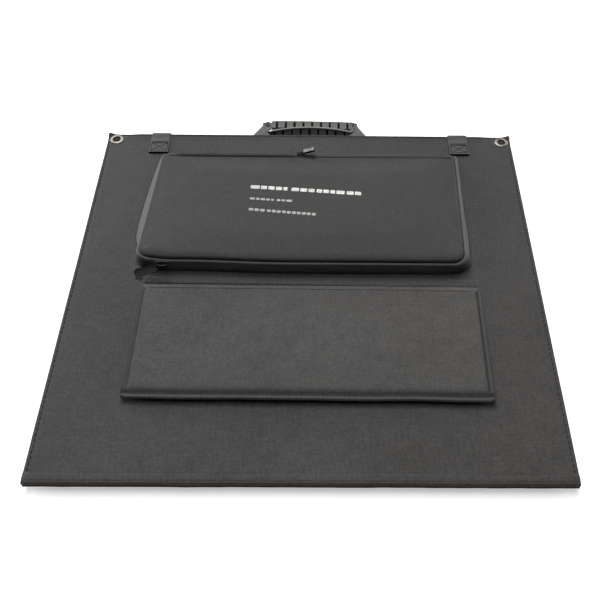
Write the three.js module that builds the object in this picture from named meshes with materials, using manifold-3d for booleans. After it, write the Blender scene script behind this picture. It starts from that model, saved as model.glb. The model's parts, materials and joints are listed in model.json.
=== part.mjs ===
// Folding solar suitcase kit: two padded solar halves joined by a fabric spine, shown folded.
// Millimetres, +Z up, X across the width, +Y from the spine towards the carrying handles.
// The origin is the middle of the kit's footprint, on the ground.
import * as THREE from "three";
import { mergeVertices } from "three/addons/utils/BufferGeometryUtils.js";
import Module from "manifold-3d";

const wasm = await Module();
wasm.setup();

// ---- driving dimensions ----
// Handles: y is measured from the handle edge, half sizes are [y, z].
// Each tab outline is the +X one, as [x, y]; the other is its mirror image.
const HANDLES = {
  upper: {
    tabOutline: [[77.5, 0.55], [61, 23], [55.2, 13], [55.2, 0.55]],
    tabZ: 13.35,
    stripZ: 12.9,
    gripY: 7.6,
    gripZ: 10.85,
    gripHalf: [2.25, 6.75],
    tunnelHalf: [1.3, 5.1],
    stripHalf: [0.75, 2.5],
    bow: 7.4,
    halfLength: 54,
  },
  lower: {
    tabOutline: [[77.5, 0.55], [61, 26], [56, 30], [56, 16], [58, 14], [58, 0.55]],
    tabZ: 8.25,
    stripZ: 8.25,
    gripY: 22.8,
    gripZ: 8.25,
    gripHalf: [7.1, 2.5],
    tunnelHalf: [5.2, 1.25],
    stripHalf: [4.4, 0.75],
    bow: 5.1,
    halfLength: 55,
  },
};
const HANDLE = { tabThick: 1.6, stripEnd: 58.5, overlap: 0.2, steps: 10 };
// handle edge to the outer side of the lower grip
const GRIP_REACH = HANDLES.lower.gripY + HANDLES.lower.bow + HANDLES.lower.gripHalf[0];

const HALF_WIDTH = 535 / 2;
const DEPTH = 497; // of each half, spine seam to handle edge
const SPINE = 4.5; // spine seam to fold axis
const SPINE_GAP = 0.2; // fold axis to the spine strips
const Y_FAR = (DEPTH + SPINE - SPINE_GAP - GRIP_REACH) / 2; // handle edge
const Y_NEAR = Y_FAR - DEPTH; // spine seam
const Y_AXIS = Y_NEAR - SPINE; // fold axis
const Y_CENTRE = (Y_NEAR + Y_FAR) / 2; // middle of each half
const Z_MID = 10.8; // fold plane between the halves
const FACE = 4.8; // fold plane to the outer fabric face
const Z_TOP = Z_MID + FACE; // outer face of the upper half
const Z_BOT = Z_MID - FACE; // outer face of the lower half

// ---- finishes ----
const finish = (options) => new THREE.MeshStandardMaterial(options);
const FINISH = {
  fabric: finish({ color: 0x2b2c2e, roughness: 0.85 }),
  lining: finish({ color: 0x232425, roughness: 0.9 }),
  webbing: finish({ color: 0x1d1e20, roughness: 0.75 }),
  board: finish({ color: 0x55585a, roughness: 0.8 }),
  sheet: finish({ color: 0xe8e9ea, roughness: 0.5 }),
  cell: finish({ color: 0x101a38, roughness: 0.25, metalness: 0.2 }),
  film: finish({ color: 0xdfe6ee, roughness: 0.15, transparent: true, opacity: 0.35 }),
  nickel: finish({ color: 0xb9b6ae, roughness: 0.3, metalness: 0.9 }),
  grip: finish({ color: 0x232323, roughness: 0.7 }),
  hook: finish({ color: 0x161616, roughness: 0.95 }),
  zipper: finish({ color: 0x1a1a1b, roughness: 0.6 }),
  slider: finish({ color: 0x1c1c1d, roughness: 0.35, metalness: 0.4 }),
  shell: finish({ color: 0x2a2c2f, roughness: 0.5 }),
  cover: finish({ color: 0x3a3d41, roughness: 0.45 }),
  button: finish({ color: 0xc8cacc, roughness: 0.5 }),
  circuit: finish({ color: 0x1f5a34, roughness: 0.5 }),
  cable: finish({ color: 0x151515, roughness: 0.5 }),
};

// ---- geometry helpers ----
const { degToRad } = THREE.MathUtils;

// indexed copy with positions only
function weld(geometry) {
  const copy = geometry.index ? geometry.toNonIndexed() : geometry.clone();
  for (const name of Object.keys(copy.attributes)) {
    if (name !== "position") copy.deleteAttribute(name);
  }
  return mergeVertices(copy, 1e-4);
}

function flatShaded(indexed) {
  const flat = indexed.toNonIndexed();
  flat.computeVertexNormals();
  return flat;
}

function toSolid(geometry) {
  const welded = weld(geometry);
  return new wasm.Manifold(new wasm.Mesh({
    numProp: 3,
    vertProperties: new Float32Array(welded.attributes.position.array),
    triVerts: new Uint32Array(welded.index.array),
  }));
}

function fromSolid(solid) {
  const mesh = solid.getMesh();
  const geometry = new THREE.BufferGeometry();
  geometry.setAttribute("position", new THREE.BufferAttribute(mesh.vertProperties, 3));
  geometry.setIndex(new THREE.BufferAttribute(mesh.triVerts, 1));
  return flatShaded(geometry);
}

const join = (...parts) => fromSolid(parts.map(toSolid).reduce((a, b) => a.add(b)));
const cut = (body, tool) => fromSolid(toSolid(body).subtract(toSolid(tool)));

function fromTriangles(coordinates) {
  const geometry = new THREE.BufferGeometry();
  const positions = new THREE.BufferAttribute(new Float32Array(coordinates), 3);
  geometry.setAttribute("position", positions);
  geometry.computeVertexNormals();
  return geometry;
}

function mapPoints(geometry, map) {
  const welded = weld(geometry);
  const points = welded.attributes.position;
  for (let i = 0; i < points.count; i++) {
    points.setXYZ(i, ...map(points.getX(i), points.getY(i), points.getZ(i)));
  }
  return flatShaded(welded);
}

// [low, high] between two distances from a base, measured up (side +1) or down (side -1)
const span = (base, side, from, to) =>
  side > 0 ? [base + from, base + to] : [base - to, base - from];

const box = ([x0, x1], [y0, y1], [z0, z1]) =>
  new THREE.BoxGeometry(x1 - x0, y1 - y0, z1 - z0)
    .translate((x0 + x1) / 2, (y0 + y1) / 2, (z0 + z1) / 2);

const vectors = (points) => points.map(([x, y]) => new THREE.Vector2(x, y));
const extrude = (outline, depth, holes = []) => {
  const shape = new THREE.Shape(vectors(outline));
  shape.holes = holes.map((hole) => new THREE.Path(vectors(hole)));
  return new THREE.ExtrudeGeometry(shape, { depth, bevelEnabled: false });
};
const slab = (outline, [z0, z1], holes) => extrude(outline, z1 - z0, holes).translate(0, 0, z0);

// rounded rectangle centred on x = 0, counter-clockwise from the lower left
function roundRect(halfWidth, [y0, y1], [nearRadius, farRadius], segments) {
  const points = [];
  const arc = (x, y, radius, start) => {
    for (let i = 0; i <= segments; i++) {
      const angle = start + (i / segments) * Math.PI / 2;
      points.push([x + radius * Math.cos(angle), y + radius * Math.sin(angle)]);
    }
  };
  arc(-halfWidth + nearRadius, y0 + nearRadius, nearRadius, Math.PI);
  arc(halfWidth - nearRadius, y0 + nearRadius, nearRadius, Math.PI * 1.5);
  arc(halfWidth - farRadius, y1 - farRadius, farRadius, 0);
  arc(-halfWidth + farRadius, y1 - farRadius, farRadius, Math.PI / 2);
  return points;
}

const circle = (x, y, radius, count) => Array.from({ length: count }, (_, i) => {
  const angle = (i / count) * Math.PI * 2;
  return [x + radius * Math.cos(angle), y + radius * Math.sin(angle)];
});

const root = new THREE.Group();
function add(name, geometry, material, parent = root) {
  const mesh = new THREE.Mesh(geometry, material);
  mesh.name = name;
  parent.add(mesh);
}

// ---- solar halves: side +1 is above the fold plane, -1 below it ----
const EYE = {
  x: 255.3, y: Y_FAR - 10.3, hole: 5, barrel: 5.75, flange: 9, bevel: 0.4, high: 1.2,
  clearance: 0.3, washer: 8.6, washerGap: 0.12, steps: 28,
};
const WALL = 1.2; // back cover rim
const LAYER_CHAMFER = 35.5; // cut off each layer's two corners at the handle edge
// name, inset from the outline, distances from the fold plane, material
const LAYERS = [
  ["stiffener_board", 2.5, [2.45, 3.85], FINISH.board],
  ["laminate", 4.5, [1.75, 2.35], FINISH.sheet],
  ["front_film", 5.5, [0.95, 1.25], FINISH.film],
];
const CELL = {
  cols: 4, rows: 4, w: 119, h: 107, gap: 2.5, z: [1.35, 1.65],
  overlap: 2, ribbonOffset: 30, ribbonHalf: 1.5, linkHalf: 15,
};
const WINDOW = { halfWidth: 246, halfDepth: 222, radius: 3 };

const halfOutline = roundRect(HALF_WIDTH, [Y_NEAR, Y_FAR], [1, 5], 3);
const eyeHoles = [-EYE.x, EYE.x].map((x) => circle(x, EYE.y, EYE.barrel + EYE.clearance, 24));

// fabric tray: outer face with a rim, clear of the eyelet barrels
function backCover(zSpan) {
  const cavity = roundRect(HALF_WIDTH - WALL, [Y_NEAR + WALL, Y_FAR - WALL], [1, 4], 3);
  return cut(slab(halfOutline, zSpan(0.95, FACE), eyeHoles), slab(cavity, zSpan(0.5, 4)));
}

function layerOutline(inset) {
  const corner = inset + LAYER_CHAMFER;
  return [
    [-HALF_WIDTH + inset, Y_NEAR + inset],
    [HALF_WIDTH - inset, Y_NEAR + inset],
    [HALF_WIDTH - inset, Y_FAR - corner],
    [HALF_WIDTH - corner, Y_FAR - inset],
    [-HALF_WIDTH + corner, Y_FAR - inset],
    [-HALF_WIDTH + inset, Y_FAR - corner],
  ];
}

// cell string: rows joined by ribbons, row ends linked in series
function solarCells(zSpan) {
  const z = zSpan(...CELL.z);
  const centres = (count, pitch, middle) =>
    Array.from({ length: count }, (_, i) => middle + (i - (count - 1) / 2) * pitch);
  const columns = centres(CELL.cols, CELL.w + CELL.gap, 0);
  const rows = centres(CELL.rows, CELL.h + CELL.gap, Y_CENTRE);
  const lastX = columns[CELL.cols - 1];
  const parts = [];
  for (const y of rows) {
    for (const x of columns) {
      const right = x + CELL.w / 2;
      parts.push(box([x - CELL.w / 2, right], [y - CELL.h / 2, y + CELL.h / 2], z));
      if (x === lastX) continue;
      for (const offset of [-CELL.ribbonOffset, CELL.ribbonOffset]) {
        parts.push(box(
          [right - CELL.overlap, right + CELL.gap + CELL.overlap],
          [y + offset - CELL.ribbonHalf, y + offset + CELL.ribbonHalf], z));
      }
    }
  }
  rows.slice(1).forEach((y, i) => {
    const x = i % 2 ? columns[0] : lastX;
    const near = y - CELL.h / 2;
    parts.push(box(
      [x - CELL.linkHalf, x + CELL.linkHalf],
      [near - CELL.gap - CELL.overlap, near + CELL.overlap], z));
  });
  return join(...parts);
}

// fabric frame around the window
function frontFrame(zSpan) {
  const { halfWidth, halfDepth, radius } = WINDOW;
  const ySpan = [Y_CENTRE - halfDepth, Y_CENTRE + halfDepth];
  const opening = roundRect(halfWidth, ySpan, [radius, radius], 3).reverse();
  return slab(halfOutline, zSpan(0.3, 0.8), [opening, ...eyeHoles]);
}

// closed ring about an eyelet's vertical axis; profile is [radius, distance from fold plane]
function eyeRing(profile, x, side) {
  const loop = side > 0 ? profile : [...profile].reverse();
  const coordinates = [];
  const at = (i, j) => {
    const [radius, height] = loop[i % loop.length];
    const angle = ((j % EYE.steps) / EYE.steps) * Math.PI * 2;
    return [
      x + radius * Math.cos(angle), EYE.y + radius * Math.sin(angle), Z_MID + side * height,
    ];
  };
  for (let j = 0; j < EYE.steps; j++) {
    for (let i = 0; i < loop.length; i++) {
      const corner = at(i + 1, j);
      const opposite = at(i, j + 1);
      coordinates.push(...at(i, j), ...opposite, ...corner);
      coordinates.push(...corner, ...opposite, ...at(i + 1, j + 1));
    }
  }
  return fromTriangles(coordinates);
}

const EYELET_PROFILE = [
  [EYE.hole, 0.4],
  [EYE.barrel, 0.4],
  [EYE.barrel, FACE + 0.1],
  [EYE.flange, FACE + 0.1],
  [EYE.flange - EYE.bevel, FACE + EYE.high],
  [EYE.hole, FACE + EYE.high],
];
const WASHER_PROFILE = [
  [EYE.barrel + EYE.washerGap, 1],
  [EYE.washer, 1],
  [EYE.washer, 1.8],
  [EYE.barrel + EYE.washerGap, 1.8],
];

function addHalf(name, side) {
  const zSpan = (from, to) => span(Z_MID, side, from, to);
  const group = new THREE.Group();
  root.add(group);
  add(`${name}_back_cover`, backCover(zSpan), FINISH.fabric, group);
  for (const [layer, inset, heights, material] of LAYERS) {
    add(`${name}_${layer}`, slab(layerOutline(inset), zSpan(...heights)), material, group);
  }
  add(`${name}_solar_cells`, solarCells(zSpan), FINISH.cell, group);
  add(`${name}_front_frame`, frontFrame(zSpan), FINISH.lining, group);
  // its share of the spine, ending short of the fold axis
  const spineStrip = box(
    [-HALF_WIDTH + 2, HALF_WIDTH - 2], [Y_AXIS + SPINE_GAP, Y_NEAR - 0.15],
    zSpan(FACE - 0.6, FACE));
  add(`${name}_spine_strip`, spineStrip, FINISH.fabric, group);
  for (const [hand, x] of [["left", -EYE.x], ["right", EYE.x]]) {
    add(`${name}_eyelet_${hand}`, eyeRing(EYELET_PROFILE, x, side), FINISH.nickel, group);
    const washer = eyeRing(WASHER_PROFILE, x, side);
    add(`${name}_eyelet_washer_${hand}`, washer, FINISH.nickel, group);
  }
}
addHalf("lower", -1);
addHalf("upper", 1);

// ---- stand flaps, hinged on the outer faces ----
const STAND = {
  hinge: Y_FAR - 259.3, depth: 152, hingeWidth: 385.5, freeWidth: 382, thick: 4, corner: 5,
};

// flap outline, inset all round but ending at y = open on the hinge side
function flapOutline(inset, open) {
  const hingeX = STAND.hingeWidth / 2 - inset;
  const freeX = STAND.freeWidth / 2 - inset;
  const freeY = -STAND.depth + inset;
  const { corner } = STAND;
  return [
    [-freeX, freeY + corner], [-freeX + corner, freeY],
    [freeX - corner, freeY], [freeX, freeY + corner],
    [hingeX, open], [-hingeX, open],
  ];
}

function addStand(name, side, { x, skew, tilt, lift, hookThick, loopTop }) {
  const base = side > 0 ? Z_TOP : Z_BOT;
  const onFlap = (from, to) => span(0, side, from, to);
  const onFace = (from, to) => span(base, side, from, to);
  const place = new THREE.Group();
  place.position.set(x, STAND.hinge, 0);
  place.rotation.z = degToRad(skew);
  root.add(place);
  const turn = new THREE.Group();
  turn.position.z = base + side * lift;
  turn.rotation.x = degToRad(-side * tilt);
  place.add(turn);

  // envelope of fabric, open along its hinge edge
  const { thick, hingeWidth } = STAND;
  const envelope = cut(
    slab(flapOutline(0, -0.6), onFlap(0, thick)),
    slab(flapOutline(3, 5), onFlap(0.6, thick - 0.6)));
  add(`${name}_stand_cover`, envelope, FINISH.fabric, turn);
  const board = slab(flapOutline(4, -3), onFlap(0.9, thick - 0.9));
  add(`${name}_stand_board`, board, FINISH.board, turn);

  const pad = (z) => box([-60, 60], [-STAND.depth + 8, -STAND.depth + 30], z);
  add(`${name}_stand_hook_pad`, pad(onFlap(-hookThick, -0.3)), FINISH.hook, turn);
  // fixed to the half
  add(`${name}_stand_loop_pad`, pad(onFace(0.15, loopTop)), FINISH.hook, place);
  const tape = box([-hingeWidth / 2, hingeWidth / 2], [0.4, 12], onFace(0.15, 0.75));
  add(`${name}_stand_hinge_tape`, tape, FINISH.fabric, place);
}
// the upper flap is sewn on a little to one side and a little askew; angles in degrees
addStand("upper", 1, { x: 5.3, skew: -0.4, tilt: 1.6, lift: 0.45, hookThick: 1.7, loopTop: 1.4 });
addStand("lower", -1, { x: 0, skew: 0, tilt: 0, lift: 2, hookThick: 1.1, loopTop: 0.7 });

// ---- carrying handles: webbing tabs and a strip through a moulded grip ----
const bowAt = (x, { bow, halfLength }) => bow * (1 - (x / halfLength) ** 2);

// rectangular sleeve along X, bowed outward in Y
function gripSleeve(spec) {
  const { gripY, gripZ, gripHalf, tunnelHalf, halfLength } = spec;
  const { steps } = HANDLE;
  const corners = ([y, z]) => [[-y, -z], [y, -z], [y, z], [-y, z]];
  const outer = corners(gripHalf);
  const inner = corners(tunnelHalf);
  const coordinates = [];
  const at = (section, i, k) => {
    const x = -halfLength + (2 * halfLength * i) / steps;
    const [y, z] = section[k % 4];
    return [x, gripY + Y_FAR + bowAt(x, spec) + y, gripZ + z];
  };
  const quad = (a, b, c, d) => coordinates.push(...a, ...c, ...b, ...a, ...d, ...c);
  for (let k = 0; k < 4; k++) {
    for (let i = 0; i < steps; i++) {
      quad(at(outer, i, k), at(outer, i + 1, k), at(outer, i + 1, k + 1), at(outer, i, k + 1));
      quad(at(inner, i, k), at(inner, i, k + 1), at(inner, i + 1, k + 1), at(inner, i + 1, k));
    }
    quad(at(outer, 0, k), at(outer, 0, k + 1), at(inner, 0, k + 1), at(inner, 0, k));
    quad(
      at(outer, steps, k), at(inner, steps, k),
      at(inner, steps, k + 1), at(outer, steps, k + 1));
  }
  return fromTriangles(coordinates);
}

function handleWebbing(spec) {
  const { tabOutline, tabZ, stripZ, stripHalf: [halfY, halfZ], halfLength } = spec;
  const centreY = spec.gripY + Y_FAR;
  const outline = tabOutline.map(([x, y]) => [x, y + Y_FAR]);
  const mirrored = outline.map(([x, y]) => [-x, y]).reverse();
  const tabSpan = [tabZ - HANDLE.tabThick / 2, tabZ + HANDLE.tabThick / 2];
  const strip = mapPoints(
    new THREE.BoxGeometry(2 * halfLength, 2 * halfY, 2 * halfZ, HANDLE.steps, 1, 1),
    (x, y, z) => [x, centreY + bowAt(x, spec) + y, stripZ + z]);
  // straight pieces from the strip's ends to the tabs
  const ends = [-1, 1].map((hand) => box(
    span(0, hand, halfLength - HANDLE.overlap, HANDLE.stripEnd),
    [centreY - halfY, centreY + halfY], [stripZ - halfZ, stripZ + halfZ]));
  return join(slab(outline, tabSpan), slab(mirrored, tabSpan), strip, ...ends);
}

for (const [name, spec] of Object.entries(HANDLES)) {
  add(`${name}_handle_webbing`, handleWebbing(spec), FINISH.webbing);
  add(`${name}_handle_grip`, gripSleeve(spec), FINISH.grip);
}

// ---- closure straps over the handle edge ----
const STRAP = { x: 197, width: 25, stitch: 15.2, end: 37, thick: 1.6, bevel: 0.9 };

function closureStrap(x0) {
  const top = Z_TOP + 1.85;
  const bottom = Z_MID - 3;
  const start = Y_FAR - STRAP.stitch;
  const inner = Y_FAR + 2.2;
  const outer = inner + STRAP.thick;
  const profile = [ // [y, z]
    [start, top - STRAP.thick], [inner, top - STRAP.thick], [inner, bottom], [outer, bottom],
    [outer, top - STRAP.bevel], [outer - STRAP.bevel, top], [start, top],
  ];
  // turns the profile's plane to Y and Z, and the extrusion to X
  const turn = new THREE.Matrix4().set(0, 0, 1, x0, 1, 0, 0, 0, 0, 1, 0, 0, 0, 0, 0, 1);
  return extrude(profile, STRAP.width).applyMatrix4(turn);
}

for (const [hand, x] of [["left", -STRAP.x], ["right", STRAP.x]]) {
  const x0 = x - STRAP.width / 2;
  const xSpan = [x0, x0 + STRAP.width];
  const ySpan = [Y_FAR - STRAP.end, Y_FAR - STRAP.stitch - 0.2];
  add(`closure_anchor_${hand}`, box(xSpan, ySpan, [Z_TOP + 0.12, Z_TOP + 1.9]), FINISH.webbing);
  add(`closure_strap_${hand}`, closureStrap(x0), FINISH.webbing);
  const lowerTab = box(xSpan, [Y_FAR + 0.15, Y_FAR + 1.7], [Z_BOT + 0.3, Z_MID - 0.5]);
  add(`lower_closure_tab_${hand}`, lowerTab, FINISH.hook);
}

// ---- accessory pocket: a wedge, low at the handle side, deep at the middle of the kit ----
// lean (in Y) and tuck (share of width) are those at leanHeight above the upper face
const POCKET = {
  far: Y_FAR - 43.5, near: Y_FAR - 241.6, width: 401, farWidth: 386, radius: 16, high: 21,
  farScale: 0.38, lean: 5.3, tuck: 0.07, leanHeight: 20, nearX: -5.8, farX: 1.2,
};
const POCKET_X = POCKET.width / 2;
const PANEL_SPAN = [POCKET.high - 1.3, POCKET.high];

// takes plan coordinates and a nominal height to the leaning, tapering pocket
function wedge(x, y, nominal) {
  const along = (y - POCKET.near) / (POCKET.far - POCKET.near);
  const height = nominal * (1 + (POCKET.farScale - 1) * along);
  const rise = height / POCKET.leanHeight;
  const taper = 1 - (1 - POCKET.farWidth / POCKET.width) * along;
  const shift = POCKET.nearX + (POCKET.farX - POCKET.nearX) * along;
  return [
    x * (1 - POCKET.tuck * rise) * taper + shift,
    y + POCKET.lean * rise * (1 - along),
    Z_TOP + height,
  ];
}

const pocketPlan = (inset, farGap = 0) => roundRect(
  POCKET_X - inset, [POCKET.near + inset, POCKET.far - inset - farGap],
  [POCKET.radius - inset, 0.5], 4);
const pocketWall = (inset, wall, heights) =>
  slab(pocketPlan(inset), heights, [pocketPlan(inset + wall).reverse()]);
const addToPocket = (name, flat, material) => add(name, mapPoints(flat, wedge), material);

// zipper tape round three sides, open on the far side
const mainTape = (heights) => cut(
  pocketWall(-0.3, 1.9, heights),
  box([-POCKET_X - 5, POCKET_X + 5], [POCKET.far - 3.5, POCKET.far + 5], [0, 30]));

const farWall = box([-POCKET_X + 3, POCKET_X - 3], [POCKET.far - 1.3, POCKET.far], [10, 18]);
const topTape = roundRect(POCKET_X - 4, [POCKET.far - 5.6, POCKET.far - 0.4], [0.5, 0.5], 2);
addToPocket("pocket_gusset", join(pocketWall(0, 1.3, [0.3, 14]), farWall), FINISH.fabric);
addToPocket("main_zipper_lower_tape", mainTape([14.3, 16]), FINISH.zipper);
addToPocket("main_zipper_upper_tape", mainTape([16.4, 18]), FINISH.zipper);
addToPocket("pocket_flap_lining", slab(pocketPlan(0.5), [18.4, 19.3]), FINISH.lining);
addToPocket("pocket_front_panel", slab(pocketPlan(0.2, 6), PANEL_SPAN), FINISH.fabric);
addToPocket("top_zipper_tape", slab(topTape, PANEL_SPAN), FINISH.zipper);

// ---- zipper sliders and pulls ----
const sliderBody = (halfWidth, depth) => extrude([
  [-5.5, -1.7], [-4.2, -halfWidth], [4.2, -halfWidth], [5.5, -1.7],
  [5.5, 1.7], [4.2, halfWidth], [-4.2, halfWidth], [-5.5, 1.7],
], depth);

// flat pull along -X from its pivot at the origin, face normal to Y
function zipperPull(length, width, depth) {
  const radius = width / 2;
  const shape = new THREE.Shape();
  shape.moveTo(1, -width * 0.28);
  shape.lineTo(1, width * 0.28);
  shape.lineTo(-6, radius);
  shape.lineTo(-length + radius, radius);
  shape.absarc(-length + radius, 0, radius, Math.PI / 2, Math.PI * 1.5, false);
  shape.lineTo(-6, -radius);
  shape.closePath();
  return new THREE.ExtrudeGeometry(shape, { depth, bevelEnabled: false, curveSegments: 8 })
    .translate(0, 0, -depth / 2)
    .rotateX(Math.PI / 2);
}

// main zipper: on the near wall
const mainY = POCKET.near + 3.1;
const mainSlider = sliderBody(2.6, 3.4)
  .rotateX(Math.PI / 2)
  .translate(-163.5, mainY, Z_TOP + 16.5);
add("main_zipper_slider", mainSlider, FINISH.slider);
const mainPull = zipperPull(32, 9.4, 1.7)
  .rotateX(-Math.PI / 6)
  .rotateY(degToRad(-8))
  .translate(-166, mainY - 6, Z_TOP + 14.5);
add("main_zipper_pull", mainPull, FINISH.slider);

// top zipper: on the pocket's far edge, its pull standing a little open
const topY = POCKET.far - 3;
const topZ = Z_TOP + 8.75;
add("top_zipper_slider", sliderBody(2.7, 2.4).translate(-11, topY, topZ), FINISH.slider);
const pullArm = new THREE.Group();
pullArm.position.set(-9, topY, topZ + 3.8);
pullArm.rotation.y = degToRad(-18);
root.add(pullArm);
const topPull = zipperPull(17, 6.5, 1.5).rotateX(Math.PI / 2).rotateZ(Math.PI);
add("top_zipper_pull", topPull, FINISH.slider, pullArm);

// ---- what the pocket carries: charge controller, its lead and plugs ----
const CASE = { x: 48, near: POCKET.near + 9, far: POCKET.near + 71, z: Z_TOP + 0.5, wall: 1.8 };
const BUTTON = { x: 30, y: CASE.near + 16, radius: 4, high: 3, clearance: 0.4 };
const caseSpan = (from, to) => span(CASE.z, 1, from, to);
const casePlan = (inset, radius) =>
  roundRect(CASE.x - inset, [CASE.near + inset, CASE.far - inset], [radius, radius], 3);

const controllerCase = cut(
  slab(casePlan(0, 4), caseSpan(0, 8.6)),
  slab(casePlan(CASE.wall, 2.5), caseSpan(CASE.wall, 12)));
add("controller_case", controllerCase, FINISH.shell);
const circuitBoard = box(
  [-CASE.x + 3, CASE.x - 3], [CASE.near + 3, CASE.far - 3], caseSpan(2.1, 3.7));
add("controller_board", circuitBoard, FINISH.circuit);
const buttonHoles = [-BUTTON.x, BUTTON.x].map((x) =>
  circle(x, BUTTON.y, BUTTON.radius + BUTTON.clearance, 20));
const coverPlate = slab(casePlan(0, 4), caseSpan(8.8, 10.6), buttonHoles);
add("controller_cover", coverPlate, FINISH.cover);
for (const [hand, x] of [["left", -BUTTON.x], ["right", BUTTON.x]]) {
  const button = new THREE.CylinderGeometry(BUTTON.radius, BUTTON.radius, BUTTON.high, 20)
    .rotateX(Math.PI / 2)
    .translate(x, BUTTON.y, CASE.z + 10.1);
  add(`controller_button_${hand}`, button, FINISH.button);
}

// cable centreline in plan, [x, y], from the controller plug to the output plug
const CABLE_ROUTE = [
  [-68, 45], [-100, 38], [-150, 42], [-166, 75], [-140, 112], [-60, 122],
  [60, 118], [140, 112], [160, 78], [140, 44], [108, 38],
];
const cable = new THREE.ExtrudeGeometry(new THREE.Shape(vectors(circle(0, 0, 2.6, 8))), {
  steps: 56,
  bevelEnabled: false,
  extrudePath: new THREE.CatmullRomCurve3(
    CABLE_ROUTE.map(([x, y]) => new THREE.Vector3(x, y, Z_TOP + 3.6))),
});
add("output_cable", cable, FINISH.cable);

const plug = (x0, x1, y) => new THREE.CylinderGeometry(3.4, 3.4, x1 - x0, 12)
  .rotateZ(Math.PI / 2)
  .translate((x0 + x1) / 2, y, Z_TOP + 4);
const PLUG_GAP = 0.6; // plug to the cable's end
const [startX, startY] = CABLE_ROUTE[0];
const [endX, endY] = CABLE_ROUTE.at(-1);
add("controller_plug", plug(startX + PLUG_GAP, -CASE.x - 0.5, startY), FINISH.cable);
add("output_plug", plug(72, endX - PLUG_GAP, endY), FINISH.cable);

export default root;
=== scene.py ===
# Folding solar suitcase kit, closed and lying flat. The two solar halves meet face to face at
# Z_MID, the spine is on the near side (-Y), the handles are on the far side (+Y), and the
# zipped pocket is on top. Helpers work in millimetres; Blender objects are in metres.
import json
import math
import random
from functools import cached_property

import bmesh
import bpy
import numpy as np
from mathutils import Matrix, Vector, noise
from mathutils.bvhtree import BVHTree

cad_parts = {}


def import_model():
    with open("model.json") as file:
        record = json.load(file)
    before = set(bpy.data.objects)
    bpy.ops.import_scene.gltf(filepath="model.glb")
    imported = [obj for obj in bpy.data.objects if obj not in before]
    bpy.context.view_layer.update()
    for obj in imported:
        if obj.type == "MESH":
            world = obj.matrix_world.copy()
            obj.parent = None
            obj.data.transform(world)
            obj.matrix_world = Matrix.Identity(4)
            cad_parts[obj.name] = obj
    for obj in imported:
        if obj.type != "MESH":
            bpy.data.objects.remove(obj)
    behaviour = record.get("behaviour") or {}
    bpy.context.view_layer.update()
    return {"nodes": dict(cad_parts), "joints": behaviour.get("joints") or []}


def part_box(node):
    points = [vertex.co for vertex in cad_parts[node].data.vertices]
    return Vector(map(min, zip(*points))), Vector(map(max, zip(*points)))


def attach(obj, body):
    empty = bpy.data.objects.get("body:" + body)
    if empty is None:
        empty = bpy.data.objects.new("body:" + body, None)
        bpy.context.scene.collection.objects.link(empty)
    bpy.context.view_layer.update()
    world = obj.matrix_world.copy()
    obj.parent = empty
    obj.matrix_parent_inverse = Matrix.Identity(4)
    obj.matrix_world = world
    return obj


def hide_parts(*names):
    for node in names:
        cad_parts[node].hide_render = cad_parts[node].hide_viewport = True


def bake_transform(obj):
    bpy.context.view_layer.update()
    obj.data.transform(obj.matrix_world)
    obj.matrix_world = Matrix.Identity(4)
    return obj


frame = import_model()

rnd = random.Random(7)
scene = bpy.context.scene
JOINT = {joint["name"]: joint for joint in frame["joints"]}


def node_min(node):
    return np.array(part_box(node)[0]) * 1000


def node_max(node):
    return np.array(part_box(node)[1]) * 1000


def joint_mm(name):
    return [v * 1000 for v in JOINT[name]["pos_m"]]


# ---------------------------------------------------------------- places, from the CAD nodes
HALF_X, Y_FAR, Z_TOP = node_max("upper_back_cover")
Y_NEAR = node_min("upper_back_cover")[1]
Y_MID = (Y_NEAR + Y_FAR) / 2
Z_BOTTOM = node_min("lower_back_cover")[2]
Z_MID = (Z_TOP + Z_BOTTOM) / 2
FACE = Z_TOP - Z_MID  # thickness of one half
Y_AXIS = frame["joints"][0]["pos_m"][1] * 1000  # fold axis of the spine
EYE_X, EYE_Y = ((node_min("upper_eyelet_right") + node_max("upper_eyelet_right")) / 2)[:2]
EYE_HOLE_R = 6.3
HINGE_Y = joint_mm("upper_stand_hinge")[1]
HALVES = (("upper", 1), ("lower", -1))  # name, direction of its outer face in Z
HANDS = (("left", -1), ("right", 1))


# ---------------------------------------------------------------- numbers and paths
def clamp(t):
    return max(0.0, min(1.0, t))


def ease(t):
    """smooth step from 0 to 1"""
    t = clamp(t)
    return t * t * (3 - 2 * t)


def curve(table):
    """function through (input, output) pairs, flat beyond the ends"""
    inputs, outputs = zip(*table)
    return lambda t: float(np.interp(t, inputs, outputs))


def ripple(x, y, z, size):
    """smooth noise, about -1..1, with features of the given size"""
    return noise.noise(Vector((x / size, y / size, z / size + 3.7)))


def spread(start, end, step):
    count = max(1, int(round(abs(end - start) / step)))
    return [start + (end - start) * i / count for i in range(count + 1)]


def grid_lines(start, end, insets, step):
    """lines at rising insets from both ends, and evenly between them"""
    left = [start + d for d in insets]
    right = [end - d for d in insets][::-1]
    return left + spread(left[-1], right[0], step)[1:-1] + right


def trail(points, step=4.0):
    """points along straight runs between the given points"""
    out = []
    for start, end in zip(points[:-1], points[1:]):
        start, end = np.array(start, float), np.array(end, float)
        count = max(1, int(np.linalg.norm(end - start) / step))
        out += [tuple(start + (end - start) * i / count) for i in range(count)]
    return out + [tuple(points[-1])]


# ---------------------------------------------------------------- objects and modifiers
def add_object(name, data):
    obj = bpy.data.objects.new(name, data)
    scene.collection.objects.link(obj)
    return obj


def set_smooth(obj):
    obj.data.polygons.foreach_set("use_smooth", [True] * len(obj.data.polygons))


def raw_mesh(name, verts, faces):
    mesh = bpy.data.meshes.new(name)
    mesh.from_pydata([(x / 1000, y / 1000, z / 1000) for x, y, z in verts], [], faces)
    return mesh


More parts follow.
